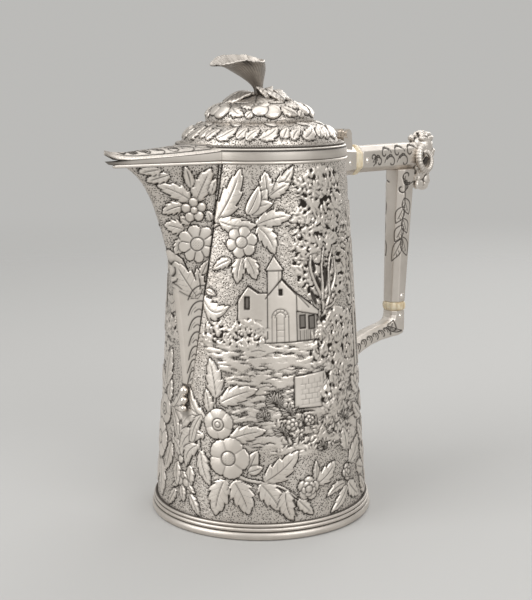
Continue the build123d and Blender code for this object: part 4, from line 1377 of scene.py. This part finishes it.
def engrave_grip(sheet):
    """A spray that hangs down the outer half of the grip, from the ram's head to its middle."""
    sheet.dark[:] = 0.17
    for origin, way in ((-3.0, 1), (3.0 + sheet.a[0], -1)):
        stalk = [(origin, 4), (origin + 1.4, 20), (origin - 1.0, 34), (origin + 0.8, 46)]
        cut_line(sheet, stalk, 0.4, 1.0, curved=True)
        for b, off, size, turn in ((4, 1.6, 4.4, 60), (11, -1.8, 4.2, -60)):
            acanthus(sheet, origin + off * way, b, size, turn, way)
        for b, hand, size, width in ((17, 1, 11, 6.2), (22, -1, 11, 6.0), (29, 1, 10, 5.6), (33, -1, 11, 6.2),
                                     (40, 1, 13, 6.4), (41, -1, 15, 6.0)):
            engraved_leaf(sheet, (origin, b), (origin + hand * size * 0.42, b + size * 0.9), width, hand)


def engrave_bracket(sheet):
    """Row of C-scallops along the lower edge of the side faces, and a drop at the elbow."""
    sheet.dark[:] = 0.12
    for origin in (1.3, sheet.a[0] + 1.3):
        for k in range(9):
            b = 21 + 5.4 * k
            scroll(sheet, origin, b, 3.6, 200, 1, curl=1.1, width=0.5, depth=1.0)
            scroll(sheet, origin + 0.3, b + 0.4, 2.1, 215, 1, curl=0.9, width=0.4, depth=1.0)
        engraved_leaf(sheet, (origin - 1.0, 18), (origin + 2.6, 8), 4.4)
        engraved_leaf(sheet, (origin + 1.4, 19), (origin - 3.4, 11), 3.4)


CORNER = 3.1
arm_low, arm_high = corners("handle_arm")
ARM_MID = (arm_low[2] + arm_high[2]) / 2
ARM_HALF_Y = (arm_high[1] - arm_low[1]) / 2
ARM_HALF_Z = (arm_high[2] - arm_low[2]) / 2
bar("engraved_arm", "handle_arm",
    [(x, ARM_MID, 0, 1, ARM_HALF_Y, ARM_HALF_Z, CORNER) for x in np.linspace(arm_low[0], arm_high[0], 4)],
    engrave_arm)

GRIP_FOOT_X = 111.2
grip_low, grip_high = corners("handle_grip")
bar("engraved_grip", "handle_grip",
    [(114.8, grip_high[2], 1, 0, 7.35, 7.35, CORNER),
     (113.0, (grip_high[2] + grip_low[2]) / 2, 1, 0, 6.62, 6.62, CORNER),
     (GRIP_FOOT_X, grip_low[2], 1, 0, 5.9, 5.9, CORNER)], engrave_grip)

# The ivory rings bulge: each is drawn at these parts of its length, with its sides in by the sag.
BULGE = (0, 0.12, 0.3, 0.5, 0.7, 0.88, 1)
RING_X0, RING_X1 = 68.3, 74.2
RING_TOP, RING_TALL = 98, 5
bar("upper_ivory", "upper_insulator",
    [(RING_X0 + (RING_X1 - RING_X0) * t, ARM_MID - 0.1, 0, 1, 7.7 - sag, 8.6 - sag, 4.4)
     for t, sag in zip(BULGE, (0.9, 0.35, 0.06, 0, 0.06, 0.35, 0.9))],
    slot="ivory", ease=8, round_ends=0.0)
bar("lower_ivory", "lower_insulator",
    [(GRIP_FOOT_X, RING_TOP - RING_TALL * t, 1, 0, 6.5 - sag, 6.5 - sag, 3.4)
     for t, sag in zip(BULGE, (0.8, 0.3, 0.05, 0, 0.05, 0.3, 0.8))],
    slot="ivory", ease=6, round_ends=0.0)


def make_bracket():
    """Elbow and curved bracket: each station joins a point of the inner edge to one of the outer."""
    pairs = [((105.3, 93.0), (117.1, 93.0)), ((105.3, 90.6), (117.1, 88.6)), ((104.7, 88.8), (117.1, 84.4)),
             ((103.4, 87.5), (117.0, 80.4)), ((101.6, 86.8), (115.9, 77.9)), ((99.4, 86.3), (112.2, 77.1)),
             ((97.0, 85.8), (106.0, 76.9)), ((91.0, 84.9), (97.0, 76.4)), ((84.0, 83.6), (88.0, 74.9)),
             ((77.5, 81.9), (80.5, 72.6)), ((71.0, 79.6), (74.0, 69.8)), ((65.0, 76.8), (68.0, 66.4)),
             ((59.0, 73.4), (61.5, 61.6)), ((53.4, 69.4), (54.6, 55.4))]
    stations = []
    for inner, outer in pairs:
        inner, outer = np.array(inner), np.array(outer)
        middle = (inner + outer) / 2
        across = inner - outer
        stations.append((*middle, *across, 5.2, np.hypot(*across) / 2, 2.3))
    bar("engraved_bracket", "lower_bracket", stations, engrave_bracket)


make_bracket()


# ---------------------------------------------------------------- ram's head

HORN_X, HORN_Z, HORN_STRETCH = 127.6, 182.6, 1.22
HORN_RIDGES = 26


def lump(centre, radii, pitch=0.0):
    """Shell of one rounded lump, tipped forward by pitch degrees about Y: points and faces."""
    rows, cols = 19, 28
    u = np.linspace(0, np.pi, rows + 2)[1:-1, None]
    v = np.linspace(0, 2 * np.pi, cols, endpoint=False)[None, :]
    ball = np.broadcast_arrays(np.sin(u) * np.cos(v), np.sin(u) * np.sin(v), np.cos(u))
    ball = np.vstack([np.stack(ball, -1).reshape(-1, 3), [(0, 0, 1), (0, 0, -1)]])
    c, s = math.cos(math.radians(pitch)), math.sin(math.radians(pitch))
    points = (ball * radii) @ np.array([[c, 0, -s], [0, 1, 0], [s, 0, c]]) + np.array(centre)
    first = np.arange(cols)
    after, last, top = np.roll(first, -1), (rows - 1) * cols, rows * cols
    faces = grid_quads(rows, cols, flip=True).tolist()
    faces += [[top, int(i), int(j)] for i, j in zip(first, after)]
    faces += [[top + 1, int(j) + last, int(i) + last] for i, j in zip(first, after)]
    return points, faces


def make_horn(name, side):
    """Ridged horn that winds back, down and forward round the ear."""
    t = np.linspace(0, 1, 230)
    angle = np.radians(100 + 360 * t)
    reach = 6.0 - 2.6 * t**2
    path = np.stack([HORN_X + reach * np.cos(angle),
                     side * (6.4 + 3.0 * np.sin(np.pi * np.clip(t * 0.9 + 0.05, 0, 1)) + 0.6 * t),
                     HORN_Z + reach * np.sin(angle) * HORN_STRETCH], -1)
    ridge = np.cos(t * 2 * np.pi * HORN_RIDGES)
    radius = (2.3 - 1.2 * t) * (1 + 0.03 * ridge)
    along = unit(np.gradient(path, axis=0))
    first = unit(np.cross(along, [0, 1, 0]))
    second = np.cross(along, first)
    turn = np.linspace(0, 2 * np.pi, 24, endpoint=False)[None, :, None]
    rings = path[:, None] + radius[:, None, None] * (first[:, None] * np.cos(turn) + second[:, None] * np.sin(turn))
    if side > 0:
        rings = rings[:, ::-1]
    dark = (0.2 - 0.14 * ridge)[:, None] * np.ones(24)
    put(name, tube(name, rings, shades(dark)), "pot", "ram_head")


def blended(name, shells, voxel, passes):
    """Melts overlapping shells into one skin and paints shade into its creases and the eyes of the horns."""
    points, faces, offset = [], [], 0
    for shell_points, shell_faces in shells:
        points.append(shell_points)
        faces += [[v + offset for v in face] for face in shell_faces]
        offset += len(shell_points)
    rough = bpy.data.objects.new(name + "_rough", mesh_from(name + "_rough", np.vstack(points), faces, {}))
    bpy.context.scene.collection.objects.link(rough)
    remesh = rough.modifiers.new("remesh", "REMESH")
    remesh.mode = "VOXEL"
    remesh.voxel_size = voxel * MM
    mesh = bpy.data.meshes.new_from_object(rough.evaluated_get(bpy.context.evaluated_depsgraph_get()))
    bpy.data.objects.remove(rough)
    count = len(mesh.vertices)
    place = np.empty(count * 3)
    mesh.vertices.foreach_get("co", place)
    place = place.reshape(-1, 3) / MM
    ends = np.empty(len(mesh.edges) * 2, int)
    mesh.edges.foreach_get("vertices", ends)
    ends = ends.reshape(-1, 2)
    degree = np.bincount(ends.reshape(-1), minlength=count)[:, None]

    def relax(values):
        total = np.zeros_like(values)
        np.add.at(total, ends[:, 0], values[ends[:, 1]])
        np.add.at(total, ends[:, 1], values[ends[:, 0]])
        return total / np.maximum(degree, 1)

    for _ in range(passes):
        place = 0.5 * place + 0.5 * relax(place)
    soft = place.copy()
    for _ in range(14):
        soft = relax(soft)
    mesh.vertices.foreach_set("co", (place * MM).reshape(-1))
    mesh.update()
    normal = np.empty(count * 3)
    mesh.vertex_normals.foreach_get("vector", normal)
    # Painted shade: dark in the creases, where the skin lies below its smoothed copy, and in the eyes of the horns.
    inward = ((soft - place) * normal.reshape(-1, 3)).sum(1)
    horn_eye = np.hypot(place[:, 0] - HORN_X, (place[:, 2] - HORN_Z) / HORN_STRETCH)
    dark = np.clip(inward * 5.0, 0, 0.9) + 0.85 * smooth(4.2, 2.6, horn_eye) * (np.abs(place[:, 1]) > 3.5)
    mesh.name = name
    return dress(mesh, shades(np.clip(dark + 0.12, 0, 0.95)))


def make_ram_head():
    """Skull, muzzle, brows, ears and hair melted together, with a horn on each side."""
    chance = np.random.default_rng(5)
    shells = [lump((133.6, 0, 190.0), (7.6, 7.0, 7.4)), lump((135.2, 0, 186.5), (7.0, 5.6, 7.6), 12),
              lump((135.8, 0, 178.5), (5.4, 4.9, 9.4), 6), lump((136.0, 0, 170.0), (4.3, 4.4, 6.2), 2),
              lump((135.4, 0, 166.4), (3.6, 4.1, 3.2)), lump((131.0, 0, 176.0), (5.2, 4.6, 7.6), -14),
              lump((132.8, 0, 168.6), (3.4, 3.0, 4.2), -10), lump((126.4, 0, 180.0), (4.2, 5.4, 12.6)),
              lump((126.0, 0, 172.0), (4.0, 4.6, 7.0))]
    for side in (-1, 1):
        for (x, y, z), radii, pitch in (
                ((138.6, 4.4, 186.6), (2.7, 1.9, 1.7), -20), ((138.6, 4.9, 184.7), (1.5, 1.2, 1.3), 0),
                ((138.4, 2.2, 168.6), (1.4, 1.3, 1.5), 0), ((134.0, 3.6, 167.2), (2.0, 1.0, 0.9), 20),
                ((130.6, 6.8, 180.6), (2.4, 1.2, 4.2), 28), ((133.6, 3.9, 177.0), (2.4, 1.6, 4.6), 18)):
            shells.append(lump((x, side * y, z), radii, pitch))
    for _ in range(40):
        turn, tilt = 2 * np.pi * chance.random(), chance.random()
        x = 133.8 + 6.4 * math.cos(turn) * math.sqrt(tilt)
        y = 6.0 * math.sin(turn) * math.sqrt(tilt)
        z = 197.0 - 3.6 * tilt + 0.5 * chance.random()
        shells.append(lump((x, y, z), (3.2, 1.0, 1.4), -40 * math.cos(turn)))
    for k in range(40):
        z = 167 + 18 * chance.random()
        shells.append(lump((124.4 + 3.2 * chance.random(), 5.0 * (2 * chance.random() - 1), z), (1.3, 1.6, 2.6)))
        side = 1 if k % 2 else -1
        x, y = 124.5 + 4.0 * chance.random(), side * (4.2 + 1.0 * chance.random())
        shells.append(lump((x, y, z), (1.4, 1.2, 2.4), 20))
    put("ram_face", blended("ram_face", shells, voxel=0.36, passes=2), "pot", "ram_head")
    make_horn("ram_horn_near", -1)
    make_horn("ram_horn_far", 1)


make_ram_head()


for name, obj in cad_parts.items():
    obj.data.materials.clear()
    slot = "ivory" if "insulator" in name and "pins" not in name else "plain_silver"
    obj.data.materials.append(MATERIALS[slot])


# ---------------------------------------------------------------- floor, light and camera

bpy.context.scene.view_settings.view_transform = "Standard"
BACKDROP = (0.50, 0.495, 0.48)


def make_floor():
    """Pale studio floor that melts into the backdrop colour away from the pot."""
    mesh = bpy.data.meshes.new("floor")
    turn = np.linspace(0, 2 * np.pi, 96, endpoint=False)
    rim = [(3.2 * math.cos(t), 3.2 * math.sin(t), 0.0) for t in turn]
    mesh.from_pydata(rim, [], [list(range(len(rim)))])
    floor = bpy.data.objects.new("floor", mesh)
    bpy.context.scene.collection.objects.link(floor)
    material, tree, shader = new_material("floor")
    link = tree.links.new
    shader.inputs["Base Color"].default_value = (0.465, 0.461, 0.452, 1)
    shader.inputs["Roughness"].default_value = 0.8
    shader.inputs["Specular IOR Level"].default_value = 0.15
    place = tree.nodes.new("ShaderNodeTexCoord").outputs["Object"]
    reach = tree.nodes.new("ShaderNodeVectorMath")
    reach.operation = "LENGTH"
    link(place, reach.inputs[0])
    fade = tree.nodes.new("ShaderNodeMapRange")
    fade.interpolation_type = "SMOOTHSTEP"
    fade.inputs["From Min"].default_value = 0.22
    fade.inputs["From Max"].default_value = 1.5
    link(reach.outputs["Value"], fade.inputs["Value"])
    clear = tree.nodes.new("ShaderNodeBsdfTransparent")
    blend = tree.nodes.new("ShaderNodeMixShader")
    link(fade.outputs["Result"], blend.inputs["Fac"])
    link(shader.outputs["BSDF"], blend.inputs[1])
    link(clear.outputs["BSDF"], blend.inputs[2])
    link(blend.outputs["Shader"], tree.nodes["Material Output"].inputs["Surface"])
    floor.data.materials.append(material)


def aim(thing, target):
    """Turns a lamp to face a place."""
    thing.rotation_euler = (Vector(target) - Vector(thing.location)).to_track_quat("-Z", "Y").to_euler()


def soft_light(name, place, target, size, power):
    """Rectangular soft box, its place and size in metres."""
    light = bpy.data.lights.new(name, "AREA")
    light.shape = "RECTANGLE"
    light.size, light.size_y = size
    light.energy = power
    lamp = bpy.data.objects.new(name, light)
    bpy.context.scene.collection.objects.link(lamp)
    lamp.location = place
    aim(lamp, target)


make_floor()
world = bpy.data.worlds.new("studio")
bpy.context.scene.world = world
world.use_nodes = True
sky = world.node_tree.nodes["Background"]
sky.inputs["Color"].default_value = (*BACKDROP, 1)
sky.inputs["Strength"].default_value = 1.0

# The camera's place, in degrees and metres, as in the photo; the lights stand round it.
CAMERA_AZ = -43.5
CAMERA_DISTANCE = 0.630
CAMERA_HEIGHT = 0.231
CAMERA_PITCH = 10.6
CAMERA_ROLL = 0.25

view = math.radians(CAMERA_AZ)
camera_data = bpy.data.cameras.new("camera")
camera_data.lens = 71.5
camera_data.sensor_width = 36.0
camera_data.shift_x = 0.0112
camera = bpy.data.objects.new("camera", camera_data)
bpy.context.scene.collection.objects.link(camera)
camera.location = (math.sin(view) * CAMERA_DISTANCE, -math.cos(view) * CAMERA_DISTANCE, CAMERA_HEIGHT)
camera.rotation_euler = (math.radians(90 - CAMERA_PITCH), math.radians(CAMERA_ROLL), view)
bpy.context.scene.camera = camera


def beside(azimuth, distance, height):
    """A place round the pot, its azimuth counted from the camera's, in degrees."""
    a = math.radians(CAMERA_AZ + azimuth)
    return (math.sin(a) * distance, -math.cos(a) * distance, height)


soft_light("key", beside(-58, 1.3, 0.75), (0, 0, 0.12), (1.0, 1.2), 12)
soft_light("fill", beside(38, 1.5, 0.9), (0, 0, 0.12), (1.2, 1.0), 11)
soft_light("top", (0, 0, 1.5), (0, 0, 0), (1.6, 1.6), 9)
soft_light("rim", beside(150, 1.2, 0.7), (0, 0, 0.12), (0.8, 1.0), 6)
